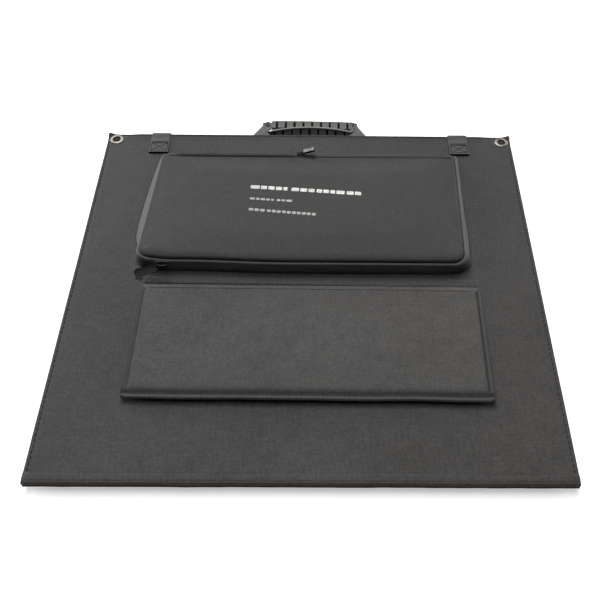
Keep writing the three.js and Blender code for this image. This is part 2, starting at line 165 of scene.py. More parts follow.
def merge(parts):
    """one (verts, faces) from a list of them"""
    verts, faces = [], []
    for part_verts, part_faces in parts:
        base = len(verts)
        verts.extend(part_verts)
        faces.extend(tuple(i + base for i in face) for face in part_faces)
    return verts, faces


def make(name, parts, *materials, smooth=True):
    """object from a list of (verts, faces), with materials given by their keys in MAT"""
    mesh = raw_mesh(name, *merge(parts))
    mesh.validate()
    edit = bmesh.new()
    edit.from_mesh(mesh)
    bmesh.ops.remove_doubles(edit, verts=edit.verts, dist=1e-7)
    bmesh.ops.recalc_face_normals(edit, faces=edit.faces)
    edit.to_mesh(mesh)
    edit.free()
    obj = add_object(name, mesh)
    for key in materials:
        mesh.materials.append(MAT[key])
    if smooth:
        set_smooth(obj)
    return obj


def fit(obj, slot, body=None, *replaced):
    if replaced:
        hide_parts(*replaced)
    if body:
        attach(obj, body)


def piece(name, parts, material, slot, body=None, *replaced, smooth=True):
    obj = make(name, parts, material, smooth=smooth)
    fit(obj, slot, body, *replaced)
    return obj


def add_modifier(obj, kind, **settings):
    modifier = obj.modifiers.new(kind.lower(), kind)
    for key, value in settings.items():
        setattr(modifier, key, value)


def bake(obj, **modifiers):
    """adds modifiers, given as kind=settings, and applies them"""
    for kind, settings in modifiers.items():
        add_modifier(obj, kind, **settings)
    graph = bpy.context.evaluated_depsgraph_get()
    mesh = bpy.data.meshes.new_from_object(obj.evaluated_get(graph), depsgraph=graph)
    old = obj.data
    obj.modifiers.clear()
    obj.data = mesh
    mesh.name = obj.name
    if old.users == 0:
        bpy.data.meshes.remove(old)


def bevelled(width):
    """settings of a small two-step bevel, width in mm"""
    return dict(width=width / 1000, segments=2, limit_method="ANGLE")


def split_at(degrees):
    return dict(split_angle=math.radians(degrees))


def drill_eyelets(obj, sides=40):
    """cuts the two round eyelet holes"""
    parts = []
    for mirror in (-1, 1):
        verts, faces = [], []
        for i in range(sides):
            angle = 2 * math.pi * i / sides
            x = mirror * EYE_X + EYE_HOLE_R * math.cos(angle)
            y = EYE_Y + EYE_HOLE_R * math.sin(angle)
            verts += [(x, y, Z_MID - 20), (x, y, Z_MID + 20)]
            j = (i + 1) % sides
            faces.append((2 * i, 2 * j, 2 * j + 1, 2 * i + 1))
        faces.append(tuple(range(0, 2 * sides, 2))[::-1])
        faces.append(tuple(range(1, 2 * sides, 2)))
        parts.append((verts, faces))
    tool = make("tool", parts)
    bake(obj, BOOLEAN=dict(object=tool, operation="DIFFERENCE", solver="EXACT"))
    bpy.data.objects.remove(tool)


def set_dark(mesh, values):
    mesh.attributes.new("dark", "FLOAT", "POINT").data.foreach_set("value", values)


def paint(obj, darkness):
    """sets how much each vertex is darkened (0 none, 1 black) from its place in mm"""
    set_dark(obj.data, [clamp(darkness(*(v.co * 1000))) for v in obj.data.vertices])


# ---------------------------------------------------------------- shapes, as (verts, faces)
def loft(rings, closed=False, caps="ends"):
    """skin over equal rings of points; caps: "ends", "flipped" (wound the other way), or
    "strip" for rings that are two facing rows"""
    count, size = len(rings), len(rings[0])
    faces = []
    for i in range(count if closed else count - 1):
        here, after = i * size, (i + 1) % count * size
        for j in range(size):
            k = (j + 1) % size
            faces.append((here + j, here + k, after + k, after + j))
    first, last = tuple(range(size)), tuple(range((count - 1) * size, count * size))
    if caps == "strip":
        faces += [(base + i, base + i + 1, base + size - 2 - i, base + size - 1 - i)
                  for base in (0, last[0]) for i in range(size // 2 - 1)]
    elif caps == "flipped":
        faces += [first, last[::-1]]
    elif not closed:
        faces += [first[::-1], last]
    return [point for ring in rings for point in ring], faces


def circle(centre, side, up, radius, sides, squash=1.0):
    angles = [2 * math.pi * i / sides for i in range(sides)]
    return [centre + side * (radius * math.cos(a)) + up * (radius * squash * math.sin(a))
            for a in angles]


def tube(points, radius, sides=8, closed=False):
    """round tube along points; radius is a number or a list"""
    points = [Vector(p) for p in points]
    count = len(points)
    radii = radius if isinstance(radius, list) else [radius] * count
    rings, side = [], None
    for i, centre in enumerate(points):
        before = points[i - 1] if closed or i > 0 else centre
        after = points[(i + 1) % count] if closed or i < count - 1 else centre
        along = (after - before).normalized()
        if side is None:
            side = along.cross(Vector((0, 0, 1)))
            if side.length < 1e-3:
                side = along.cross(Vector((1, 0, 0)))
        else:
            side = side - along * side.dot(along)
        side.normalize()
        rings.append(circle(centre, side, side.cross(along), radii[i], sides))
    return loft(rings, closed)


def ribbon(path, width, thick, segments):
    """flat strip, its width along X, over (centre, normal) items; thinner at its edges"""
    steps = [(i / segments - 0.5, 0.55 if i in (0, segments) else 1.0)
             for i in range(segments + 1)]
    section = [(u * width, 0.5 * thick * thin) for u, thin in steps]
    section += [(-u, -v) for u, v in section]
    across = Vector((1, 0, 0))
    return loft([[Vector(centre) + across * u + Vector(normal) * v for u, v in section]
                 for centre, normal in path], caps="strip")


def lathe(profile, x, y, sides):
    """closed profile of (radius, z) turned about a vertical axis"""
    angles = [2 * math.pi * i / sides for i in range(sides)]
    return loft([[(x + r * math.cos(a), y + r * math.sin(a), z) for r, z in profile]
                 for a in angles], closed=True)


def disc_map(off_x, off_y):
    """reach of a point in a corner square, and the scale that moves it onto a quarter disc"""
    reach = max(abs(off_x), abs(off_y))
    return reach, reach / math.hypot(off_x, off_y)


def rect_plan(x0, x1, y0, y1, near_r, far_r):
    """plan of a rectangle with rounded near and far corners, for slab()"""
    def plan(x, y):
        left, near = x < (x0 + x1) / 2, y < (y0 + y1) / 2
        radius = near_r if near else far_r
        arc_x = x0 + radius if left else x1 - radius
        arc_y = y0 + radius if near else y1 - radius
        off_x, off_y = x - arc_x, y - arc_y
        if off_x * (-1 if left else 1) > 0 and off_y * (-1 if near else 1) > 0:
            reach, scale = disc_map(off_x, off_y)
            return arc_x + off_x * scale, arc_y + off_y * scale, radius - reach
        return x, y, min(x - x0, x1 - x, y - y0, y1 - y)
    return plan


def slab(xs, ys, plan, top, bottom, keep=lambda x, y: True):
    """closed sheet on a grid. plan(x, y) gives (x, y, distance in from the outline); top and
    bottom give z from those; keep(x, y) says which cells are there"""
    verts, index, faces = [], {}, []
    spots = {(i, j): plan(x, y) for i, x in enumerate(xs) for j, y in enumerate(ys)}
    cells = {(i, j) for i in range(len(xs) - 1) for j in range(len(ys) - 1)
             if keep((xs[i] + xs[i + 1]) / 2, (ys[j] + ys[j + 1]) / 2)}

    def vert(height, spot):
        if (height, spot) not in index:
            x, y, inset = spots[spot]
            index[height, spot] = len(verts)
            verts.append((x, y, height(x, y, inset)))
        return index[height, spot]

    for i, j in cells:
        loop = ((i, j), (i + 1, j), (i + 1, j + 1), (i, j + 1))
        faces.append(tuple(vert(top, spot) for spot in loop))
        faces.append(tuple(vert(bottom, loop[-k]) for k in range(4)))
        # a wall wherever the neighbour (column step, row step) is missing
        for column, row, k in ((-1, 0, 3), (1, 0, 1), (0, -1, 0), (0, 1, 2)):
            if (i + column, j + row) not in cells:
                start, end = loop[k], loop[(k + 1) % 4]
                faces.append((vert(top, end), vert(top, start),
                              vert(bottom, start), vert(bottom, end)))
    return verts, faces


# one stitch: (share of its length, rise, thickness), the last two in thread radii
STITCH = ((0.0, -0.25, 0.5), (0.14, 0.55, 0.9), (0.5, 1.0, 1.05), (0.86, 0.55, 0.9),
          (1.0, -0.25, 0.5))


def stitches(path, pitch, length, radius, lift, up=(0, 0, 1)):
    """small sewn stitches along points that lie on the fabric"""
    path = np.array(path, float)
    along = np.concatenate([[0], np.cumsum(np.linalg.norm(np.diff(path, axis=0), axis=1))])
    total, up = along[-1], Vector(up).normalized()
    count = max(1, int(total / pitch))

    def place(distance):
        return Vector([float(np.interp(distance, along, path[:, k])) for k in range(3)])

    parts = []
    for i in range(count):
        middle = (i + 0.5) * total / count
        start = place(max(0, middle - length / 2))
        end = place(min(total, middle + length / 2))
        if (end - start).length < 0.3:
            continue
        side = (end - start).normalized().cross(up)
        side.normalize()
        shift = side * rnd.uniform(-0.12, 0.12)
        rings = []
        for share, rise, thick in STITCH:
            centre = start.lerp(end, share) + up * (lift + radius * rise * 0.8) + shift
            rings.append(circle(centre, side, up, radius * thick, 5, squash=0.8))
        parts.append(loft(rings))
    return merge(parts)


def drape(obj, path, up=(0, 0, 1), lift=0.0):
    """drops a path of points onto a piece along -up, from 60 mm above"""
    tree = BVHTree.FromObject(obj, bpy.context.evaluated_depsgraph_get())
    up = Vector(up)
    out = []
    for point in path:
        hit = tree.ray_cast(Vector(point) / 1000 + up * 0.06, -up)[0]
        spot = hit * 1000 if hit is not None else Vector(point)
        out.append(tuple(spot + up * lift))
    return out


# ---------------------------------------------------------------- material nodes
class Graph:
    """short node-graph writer for a material or a world"""

    def __init__(self, owner):
        owner.use_nodes = True
        self.owner, self.tree = owner, owner.node_tree

    def new(self, kind, inputs=None, **settings):
        node = self.tree.nodes.new(kind)
        for key, value in settings.items():
            setattr(node, key, value)
        self.fill(node, inputs or {})
        return node

    def fill(self, node, inputs):
        """links or sets each input; a colour gets an alpha of 1"""
        for key, value in inputs.items():
            socket = node.inputs[key]
            if hasattr(value, "is_output"):
                self.tree.links.new(value, socket)
            elif socket.type == "RGBA":
                socket.default_value = (*value, 1)
            else:
                socket.default_value = value

    def surface(self, inputs):
        self.fill(self.tree.nodes["Principled BSDF"], inputs)

    @cached_property
    def coords(self):
        return self.new("ShaderNodeTexCoord").outputs["Object"]

    @cached_property
    def axes(self):
        return self.new("ShaderNodeSeparateXYZ", {0: self.coords}).outputs

    def camera_ray(self):
        return self.new("ShaderNodeLightPath").outputs["Is Camera Ray"]

    def math(self, operation, first, second=None, clamp=False):
        inputs = {0: first} if second is None else {0: first, 1: second}
        return self.new("ShaderNodeMath", inputs, operation=operation, use_clamp=clamp).outputs[0]

    def add(self, first, second, clamp=False):
        return self.math("ADD", first, second, clamp)

    def sub(self, first, second):
        return self.math("SUBTRACT", first, second)

    def mul(self, first, second, clamp=False):
        return self.math("MULTIPLY", first, second, clamp)

    def div(self, first, second, clamp=False):
        return self.math("DIVIDE", first, second, clamp)

    def noise(self, scale, detail, rough, coords=None):
        return self.new("ShaderNodeTexNoise", {
            "Scale": scale, "Detail": detail, "Roughness": rough,
            "Vector": coords or self.coords}).outputs["Fac"]

    def stretched_noise(self, scale):
        coords = self.new("ShaderNodeMapping", {"Scale": scale, "Vector": self.coords}).outputs[0]
        return self.noise(1, detail=2, rough=0.5, coords=coords)

    def ramp(self, factor, stops):
        """stops: (position, colour)"""
        node = self.new("ShaderNodeValToRGB", {0: factor})
        elements = node.color_ramp.elements
        while len(elements) < len(stops):
            elements.new(0.5)
        for element, (position, colour) in zip(elements, stops):
            element.position = position
            element.color = (*colour, 1)
        return node.outputs[0]

    def mix(self, factor, first, second, blend="MIX"):
        return self.new("ShaderNodeMix", {}, data_type="RGBA", blend_type=blend), \
            factor, first, second

    def blend(self, factor, first, second, kind="MIX"):
        node = self.new("ShaderNodeMix", data_type="RGBA", blend_type=kind)
        self.fill(node, {0: factor, 6: first, 7: second})
        return node.outputs[2]

    def bump(self, height, strength, depth_mm, below=None):
        inputs = {"Strength": strength, "Distance": depth_mm / 1000, "Height": height}
        if below is not None:
            inputs["Normal"] = below
        return self.new("ShaderNodeBump", inputs).outputs[0]

    def tone_and_painted_shade(self, colour):
        """darkens by the "dark" attribute that paint() leaves on a mesh: painted shade in grooves,
        at edges and corners, and an even darkening that sets the tone of some pieces
        """
        dark = self.new("ShaderNodeAttribute", attribute_name="dark").outputs["Fac"]
        return self.blend(dark, colour, (0.002, 0.002, 0.002))


del Graph.mix


def grey(level):
    return (level, level, level)


def scaled(colour, factor):
    return [channel * factor for channel in colour]


def fabric(name, base, rough=0.82, pitch=0.62, weave=0.55, sheen=0.12, mottle=1.0, lint=0.5,
           spec=0.3, wrinkle=0.25, far=0.0, near=None, low=None):
    """woven polyester: plain weave, mottled dye, lint, faint creases, warmer towards +X.
    pitch: yarn spacing in mm; far: painted shade, a change of tone over 250 mm of +Y that
    evens out the light; near: another tint below a y; low: painted shade below a z; both as
    (place in mm, soft width in mm, tint)"""
    g = Graph(bpy.data.materials.new(name))
    x, y, z = g.axes
    turns = 2 * math.pi / (pitch / 1000)
    warp = g.mul(g.add(x, g.mul(z, 0.83)), turns)
    weft = g.mul(g.add(y, g.mul(z, 0.71)), turns)
    yarn = g.add(g.mul(g.mul(g.math("SINE", warp), g.math("SINE", weft)), 0.5), 0.5)
    large = g.noise(7, detail=3, rough=0.5)
    medium = g.noise(60, detail=3, rough=0.6)
    small = g.noise(330, detail=3, rough=0.65)
    # slightly uneven yarns running both ways
    slub = g.add(g.stretched_noise((900, 60, 300)), g.stretched_noise((60, 900, 300)))

    def vary(source, mean, amount):
        return g.mul(g.sub(source, mean), amount * mottle)

    tone = vary(yarn, 0.5, 0.22)
    for source, mean, amount in ((slub, 1.0, 0.35), (small, 0.5, 0.85), (medium, 0.5, 0.50),
                                 (large, 0.5, 0.40)):
        tone = g.add(vary(source, mean, amount), tone)
    tone = g.add(tone, 1.0)
    # painted shade: the tone changes along +Y by far
    if far:
        tone = g.mul(tone, g.add(g.mul(y, far / 0.25), 1.0))
    tone = g.new("ShaderNodeCombineColor", {0: tone, 1: tone, 2: tone}).outputs[0]
    colour = g.blend(1.0, base, tone, "MULTIPLY")
    patches = vary(g.noise(11, detail=2, rough=0.5), 0.5, 1.4)
    warmth = g.add(g.mul(x, 2.2), g.add(patches, 0.35), clamp=True)
    colour = g.blend(warmth, colour, (1.05, 1.0, 0.94), "MULTIPLY")
    if near:
        place, soft, tint = near
        waver = g.mul(g.sub(g.noise(40, detail=2, rough=0.5), 0.5), soft / 1000)
        factor = g.div(g.sub(place / 1000, g.add(y, waver)), soft / 1000, clamp=True)
        colour = g.blend(factor, colour, tint, "MULTIPLY")
    speck = g.math("GREATER_THAN", g.noise(520, detail=1, rough=0.4), 0.79)
    colour = g.blend(g.mul(speck, lint * 0.35), colour, (0.20, 0.195, 0.19))
    # painted shade below the height given by low
    if low:
        place, soft, tint = low
        factor = g.div(g.sub(place / 1000, z), soft / 1000, clamp=True)
        colour = g.blend(factor, colour, tint, "MULTIPLY")
    creases = g.bump(g.noise(28, detail=4, rough=0.55), wrinkle, depth_mm=0.9)
    threads = g.bump(yarn, weave, depth_mm=0.10, below=creases)
    g.surface({
        "Base Color": g.tone_and_painted_shade(colour),
        "Roughness": g.add(g.mul(medium, 0.16), rough - 0.08),
        "Specular IOR Level": spec,
        "Sheen Weight": sheen,
        "Sheen Roughness": 0.5,
        "Sheen Tint": (0.85, 0.86, 0.9),
        "Normal": g.bump(small, 0.45, depth_mm=0.22, below=threads),
    })
    return g.owner


def webbing(name, base, speckle, along="y", rib_pitch=1.5, yarn_pitch=2.1):
    """heavy webbing with ribs across its length and yarns along it; pitches in mm"""
    g = Graph(bpy.data.materials.new(name))
    x, y, z = g.axes
    length, width = (y, x) if along == "y" else (x, y)
    rib_turns, yarn_turns = 2 * math.pi * 1000 / rib_pitch, 2 * math.pi * 1000 / yarn_pitch
    phase = g.mul(g.add(length, g.mul(z, 0.9)), rib_turns * 0.5)
    ribs = g.math("ABSOLUTE", g.math("SINE", phase))
    yarns = g.math("ABSOLUTE", g.math("SINE", g.mul(width, yarn_turns * 0.5)))
    height = g.mul(ribs, g.add(g.mul(yarns, 0.7), 0.3))
    fluff = g.noise(700, detail=2, rough=0.7)
    tone = g.add(g.mul(height, 0.5), g.mul(fluff, speckle))
    stops = [(0.15, scaled(base, 0.45)), (0.55, base), (0.95, scaled(base, 1.9))]
    g.surface({
        "Base Color": g.ramp(tone, stops),
        "Roughness": 0.7,
        "Specular IOR Level": 0.4,
        "Sheen Weight": 0.3,
        "Sheen Roughness": 0.4,
        "Normal": g.bump(fluff, 0.4, depth_mm=0.2, below=g.bump(height, 0.9, depth_mm=0.45)),
    })
    return g.owner


def plastic(name, base, rough=0.4, grain=600, bump=0.15, var=0.12, coat=0.0, spec=0.5,
            wear_and_glint=0.0, above=None):
    """moulded plastic. grain: scale of the surface noise; var: colour variation; wear_and_glint:
    paler edges, for wear and, on the slider, as painted glints; above: a painted highlight on
    the top, as (z in mm, soft height in mm, colour)"""
    g = Graph(bpy.data.materials.new(name))
    fine, mottle = g.noise(grain, detail=3, rough=0.6), g.noise(60, detail=4, rough=0.6)
    colour = g.ramp(mottle, [(0.3, scaled(base, 1 - var)), (0.7, scaled(base, 1 + var))])
    # paler edges: real wear, and on the slider painted glints
    if wear_and_glint:
        pointiness = g.new("ShaderNodeNewGeometry").outputs["Pointiness"]
        edge = g.mul(g.sub(pointiness, 0.51), 14, clamp=True)
        colour = g.blend(g.mul(edge, wear_and_glint), colour, [min(1, c * 3 + 0.05) for c in base])
    # painted highlight: the top is blended towards a paler colour
    if above:
        place, soft, lit_top = above
        factor = g.div(g.sub(g.axes[2], place / 1000), soft / 1000, clamp=True)
        colour = g.blend(factor, colour, lit_top)
    g.surface({
        "Base Color": g.tone_and_painted_shade(colour),
        "Roughness": g.add(g.mul(mottle, 0.2), rough - 0.1),
        "Specular IOR Level": spec,
        "Coat Weight": coat,
        "Normal": g.bump(fine, bump, depth_mm=0.08),
    })
    return g.owner


def nickel_material():
    """dull plated metal with tarnished specks"""
    base = (0.26, 0.24, 0.215)
    g = Graph(bpy.data.materials.new("nickel"))
    patches, scratches = g.noise(250, detail=4, rough=0.6), g.noise(1800, detail=2, rough=0.5)
    colour = g.ramp(patches, [(0.3, scaled(base, 0.7)), (0.7, base)])
    tarnish = g.mul(g.sub(g.noise(900, detail=2, rough=0.5), 0.50), 4.0, clamp=True)
    g.surface({
        "Base Color": g.blend(tarnish, colour, scaled(base, 0.38)),
        "Metallic": 1,
        "Roughness": g.add(g.mul(patches, 0.22), 0.38),
        "Normal": g.bump(scratches, 0.12, depth_mm=0.05),
    })
    return g.owner


def solar_material():
    """dark cells with silver fingers and busbars, laid out on the cell grid"""
    cell_x, cell_y, gap = 119.0, 107.0, 2.5
    g = Graph(bpy.data.materials.new("solar_cell"))
    x, y, _ = g.axes
    across = g.math("FRACT", g.add(g.div(x, (cell_x + gap) / 1000), 0.0))
    up = g.math("FRACT", g.div(g.sub(y, Y_MID / 1000), (cell_y + gap) / 1000))
    finger = g.math("LESS_THAN", g.math("FRACT", g.mul(up, 54)), 0.10)
    bus_place = g.sub(g.math("FRACT", g.mul(across, 5)), 0.5)
    bus = g.math("LESS_THAN", g.math("ABSOLUTE", bus_place), 0.028)
    colour = g.ramp(g.noise(14, detail=3, rough=0.5),
                    [(0.3, (0.006, 0.010, 0.032)), (0.7, (0.011, 0.017, 0.052))])
    colour = g.blend(g.mul(finger, 0.35), colour, (0.16, 0.17, 0.20))
    g.surface({
        "Base Color": g.blend(bus, colour, grey(0.62)),
        "Metallic": g.mul(bus, 0.8),
        "Roughness": 0.28,
        "Coat Weight": 0.4,
    })
    return g.owner


def film_material():
    """clear stippled film: transparent, with a glossy reflection by angle"""
    g = Graph(bpy.data.materials.new("clear_film"))
    cells = g.new("ShaderNodeTexVoronoi", {"Scale": 420, "Vector": g.coords})
    stipple = g.bump(cells.outputs["Distance"], 0.10, depth_mm=0.06)
    clear = g.new("ShaderNodeBsdfTransparent", {0: (0.97, 0.98, 0.99)})
    gloss = g.new("ShaderNodeBsdfGlossy", {"Roughness": 0.07, "Normal": stipple})
    fresnel = g.new("ShaderNodeFresnel", {"IOR": 1.42, "Normal": stipple})
    mixed = g.new("ShaderNodeMixShader", {
        0: fresnel.outputs[0], 1: clear.outputs[0], 2: gloss.outputs[0]})
    g.fill(g.tree.nodes["Material Output"], {"Surface": mixed.outputs[0]})
    return g.owner


HANDLE_WEAVE = dict(along="x", rib_pitch=1.7, yarn_pitch=2.4)
THREAD = dict(pitch=0.3, weave=0.3, sheen=0.0, lint=0)
INK = dict(lint=0.0, sheen=0.0, mottle=1.6, weave=0.5)
MAT = {
    # far on the cover: painted shade, darker towards +Y to even out the stronger light there
    "cover": fabric("cover_fabric", (0.0266, 0.0266, 0.0270), mottle=1.6, far=-0.19),
    "stand": fabric("stand_fabric", grey(0.0362), mottle=1.4),
    "hinge": fabric("hinge_fabric", (0.027, 0.027, 0.0275), wrinkle=0.3, mottle=1.4,
                    near=(HINGE_Y - 0.2, 1.2, (1.52, 1.52, 1.51))),
    # far on the pocket: painted shade, darker towards +Y to even out the stronger light there
    "pocket": fabric("pocket_fabric", (0.0204, 0.0204, 0.0206), wrinkle=0.4, mottle=1.5,
                     far=-0.2),
    # low on the gusset: painted shade along the foot of its wall
    "gusset": fabric("gusset_fabric", (0.098, 0.098, 0.0985), wrinkle=0.35, pitch=0.55,
                     mottle=0.7, low=(Z_TOP + 2.2, 1.6, grey(0.30))),
    "lining": fabric("lining_fabric", (0.025, 0.025, 0.027), pitch=0.45, lint=0.2),
    "spine": fabric("spine_fabric", (0.0325, 0.0325, 0.0328), wrinkle=0.5, mottle=1.5,
                    near=(Y_NEAR - 1.3, 0.9, (1.12, 0.86, 0.74))),
    "web": webbing("strap_webbing", (0.036, 0.036, 0.0365), speckle=0.35),
    "handle_web": webbing("handle_webbing", (0.047, 0.044, 0.042), speckle=1.0,
                          **HANDLE_WEAVE),
    "dark_web": webbing("handle_webbing_shadowed", (0.012, 0.011, 0.010), speckle=0.6,
                        **HANDLE_WEAVE),
    "thread": fabric("thread", (0.020, 0.020, 0.021), rough=0.85, spec=0.1, **THREAD),
    "thread_dark": fabric("thread_dark", (0.006, 0.006, 0.007), rough=0.9, spec=0.05,
                          **THREAD),
    "tape": fabric("zipper_tape", (0.012, 0.012, 0.013), pitch=0.5, sheen=0.05, lint=0.0,
                   rough=0.85, spec=0.15),
    "coil": plastic("zipper_coil", (0.012, 0.012, 0.013), rough=0.42, spec=0.4),
    # black slider; its paler edges are painted glints
    "slider": plastic("slider_lacquer", (0.004, 0.004, 0.0045), rough=0.34, spec=0.16,
                      wear_and_glint=0.25),
    "pull": plastic("pull_plastic", (0.036, 0.036, 0.037), rough=0.6, bump=0.35, spec=0.08,
                    wear_and_glint=0.05),
    # paler plastic laid on the top pull's upper face: a painted highlight
    "pull_light": plastic("pull_plastic_highlight", (0.10, 0.10, 0.098), rough=0.36, bump=0.3,
                          spec=0.6, wear_and_glint=0.1),
    # near grip: a darker copy of the rubber, painted shade for its face turned from the light;
    # above paints its top paler, a painted highlight
    "grip": plastic("grip_rubber", (0.034, 0.034, 0.033), rough=0.5, grain=900, bump=0.35,
                    wear_and_glint=0.05, above=(Z_MID + 6.0, 0.5, (0.11, 0.107, 0.104))),
    # far grip: a paler copy of the same rubber, painted light for its lit top face
    "far_grip": plastic("grip_rubber_far_lit", (0.043, 0.039, 0.036), rough=0.55, grain=900,
                        bump=0.35, wear_and_glint=0.05),
    # near black: painted shade in the grip slots and under the strap ends
    "slot": plastic("recess_shade", grey(0.004), rough=0.9, spec=0.05),
    "nickel": nickel_material(),
    "print": fabric("print_ink", grey(0.42), **INK),
    "print_dim": fabric("print_ink_fine", grey(0.26), **INK),
    "cell": solar_material(),
    "film": film_material(),
    "sheet": plastic("back_sheet", (0.72, 0.73, 0.74), rough=0.45, var=0.04),
    "board": plastic("stiffener", (0.20, 0.205, 0.21), rough=0.7, grain=300, bump=0.3),
    "hook": fabric("hook_loop", (0.020, 0.020, 0.021), pitch=0.9, weave=1.0, sheen=0.5,
                   lint=0.3, rough=0.95),
    "shell": plastic("controller_shell", (0.040, 0.042, 0.045), rough=0.5, bump=0.25,
                     wear_and_glint=0.2),
    "plate": plastic("controller_plate", (0.065, 0.068, 0.073), rough=0.42, bump=0.2,
                     wear_and_glint=0.2),
    "button": plastic("button_plastic", (0.55, 0.56, 0.57), rough=0.45, var=0.05),
    "pcb": plastic("circuit_board", (0.02, 0.16, 0.07), rough=0.35, coat=0.4),
    "cable": plastic("cable_sleeve", (0.018, 0.018, 0.019), rough=0.5, bump=0.2),
    "lcd": plastic("display_glass", (0.16, 0.20, 0.15), rough=0.12, var=0.03, coat=1.0),
}


def dress(node, key):
    """gives a CAD node one material"""
    materials = frame["nodes"][node].data.materials
    materials.clear()
    materials.append(MAT[key])


for side, _ in HALVES:
    for node, key in (
        ("solar_cells", "cell"), ("front_film", "film"), ("laminate", "sheet"),
        ("stiffener_board", "board"), ("stand_board", "board"), ("stand_hook_pad", "hook"),
        ("stand_loop_pad", "hook"), ("eyelet_washer_left", "nickel"),
        ("eyelet_washer_right", "nickel"),
    ):
        dress(f"{side}_{node}", key)
for hand, _ in HANDS:
    dress(f"lower_closure_tab_{hand}", "hook")
    dress(f"controller_button_{hand}", "button")
dress("controller_board", "pcb")


# ---------------------------------------------------------------- the two solar halves
def edge_wave(x, y):
    """slow waviness of the sewn panel, a little stronger towards its edges"""
    inset = min(HALF_X - abs(x), y - Y_NEAR, Y_FAR - y)
    return (0.28 * ripple(x, y, 0, 95) + 0.10 * ripple(x, y, 5, 31)
            + 0.42 * ripple(x, y, 9, 60) * max(0.0, 1 - inset / 60))


def hem(x, y):
    """the far hem stands a little proud between the eyelets"""
    return 1.3 * ease((y - (Y_FAR - 9)) / 9) * (1 - ease((abs(x) - 226) / 14))


# (distance in from the edge, height above Z_MID)
COVER_EDGE = curve([
    (0, 3.0), (0.08, 3.75), (0.35, 4.3), (0.8, 4.62), (1.5, 4.78), (2.4, 4.80), (3.2, 4.62),
    (3.7, 4.28), (4.2, 4.26), (4.9, 4.58), (6.4, 4.80), (9, 4.80)])
COVER_INSETS = [0, 0.08, 0.35, 0.8, 1.2, 1.5, 2.4, 3.2, 3.7, 4.2, 4.9, 6.4, 9, 14]


def half_cover(side, sign):
    y_end = Y_FAR + (1.0 if sign > 0 else 0.0)

    def corner_lift(x, y):
        """the far corner tips of the upper half, beyond the eyelets, lift a little"""
        tip = math.hypot(HALF_X - abs(x), y_end - y)
        return max(0.0, 1 - tip / 11) ** 1.3 if sign > 0 else 0.0

    def outer(x, y, inset):
        height = COVER_EDGE(inset) + edge_wave(x, y) * min(1.0, 0.35 + inset / 20)
        if inset < 12:
            pucker = math.sin((x + y) * 0.9 + 2 * ripple(x, y, 2, 40))
            height += 0.10 * pucker * math.exp(-((inset - 4) / 3.0) ** 2)
        if sign > 0:
            height += hem(x, y) * min(1.0, 0.3 + inset / 2) + 4.2 * corner_lift(x, y)
        return Z_MID + sign * height

    def inner(x, y, inset):
        curl = 3.2 * corner_lift(x, y) if inset < 1.4 else 0
        return Z_MID + sign * ((0.95 if inset < 1.35 else 4.05) + curl)

    xs = grid_lines(-HALF_X, HALF_X, COVER_INSETS, 7.0)
    ys = grid_lines(Y_NEAR, y_end, COVER_INSETS, 7.0)
    plan = rect_plan(-HALF_X, HALF_X, Y_NEAR, y_end, near_r=1.5, far_r=3.0)
    obj = make(side + "_cover_shell", [slab(xs, ys, plan, outer, inner)], "cover")
    drill_eyelets(obj)
    set_smooth(obj)
    fit(obj, "fabric", side + "_half", side + "_back_cover")

    seam, up, parts = 3.95, (0, 0, sign), []
    for mirror in (-1, 1):
        x = mirror * (HALF_X - seam)
        path = drape(obj, trail([(x, Y_NEAR + 7, Z_MID), (x, Y_FAR - 22, Z_MID)]), up)
        parts.append(stitches(path, pitch=6.2, length=3.6, radius=0.42, lift=-0.1, up=up))
    for x0, x1 in ((-HALF_X + 24, -HALF_X + 56), (HALF_X - 56, HALF_X - 24), (-183, 183)):
        y = Y_FAR - seam
        path = drape(obj, trail([(x0, y, Z_MID), (x1, y, Z_MID)]), up)
        parts.append(stitches(path, pitch=5.2, length=3.0, radius=0.2, lift=-0.08, up=up))
    piece(side + "_hem_stitching", parts, "thread_dark", "fabric", side + "_half")


def front_frame(side, sign):
    """thin fabric ring round the solar window"""
    win_x, win_near, win_far = 246.0, Y_MID - 222, Y_MID + 222

    def frame_lines(start, end, win_start, win_end):
        cuts = set(grid_lines(start, end, [0, 0.3, 1.0, 2.2, 5, 9], 9.0))
        for out in (0, 1.2, 3):
            cuts |= {win_start - out, win_end + out}
        return [v for v in sorted(cuts) if v <= win_start + 0.01 or v >= win_end - 0.01
                or win_start + 6 < v < win_end - 6]

    def inner(x, y, inset):
        beyond = max(abs(x) - win_x, win_near - y, y - win_far)
        height = 0.34 + (0.16 if inset < 0.4 else 0) + (0.18 if beyond < 0.6 else 0)
        return Z_MID + sign * (height + 0.05 * ripple(x, y, 3, 25))

    def outer(x, y, inset):
        return Z_MID + sign * 0.86

    def keep(x, y):
        return not (abs(x) < win_x and win_near < y < win_far)

    xs = frame_lines(-HALF_X, HALF_X, -win_x, win_x)
    ys = frame_lines(Y_NEAR, Y_FAR, win_near, win_far)
    plan = rect_plan(-HALF_X, HALF_X, Y_NEAR, Y_FAR, near_r=1.5, far_r=3.5)
    obj = make(side + "_frame_ring", [slab(xs, ys, plan, outer, inner, keep)], "lining")
    drill_eyelets(obj)
    fit(obj, "lining", side + "_half", side + "_front_frame")
    x, y0, y1, z = win_x + 3.5, win_near - 3.5, win_far + 3.5, Z_MID + sign * 0.3
    path = trail([(-x, y0, z), (x, y0, z), (x, y1, z), (-x, y1, z), (-x, y0, z)])
    sewn = stitches(path, pitch=4.2, length=3.0, radius=0.2, lift=-0.06, up=(0, 0, -sign))
    piece(side + "_window_stitching", [sewn], "thread", "lining", side + "_half")


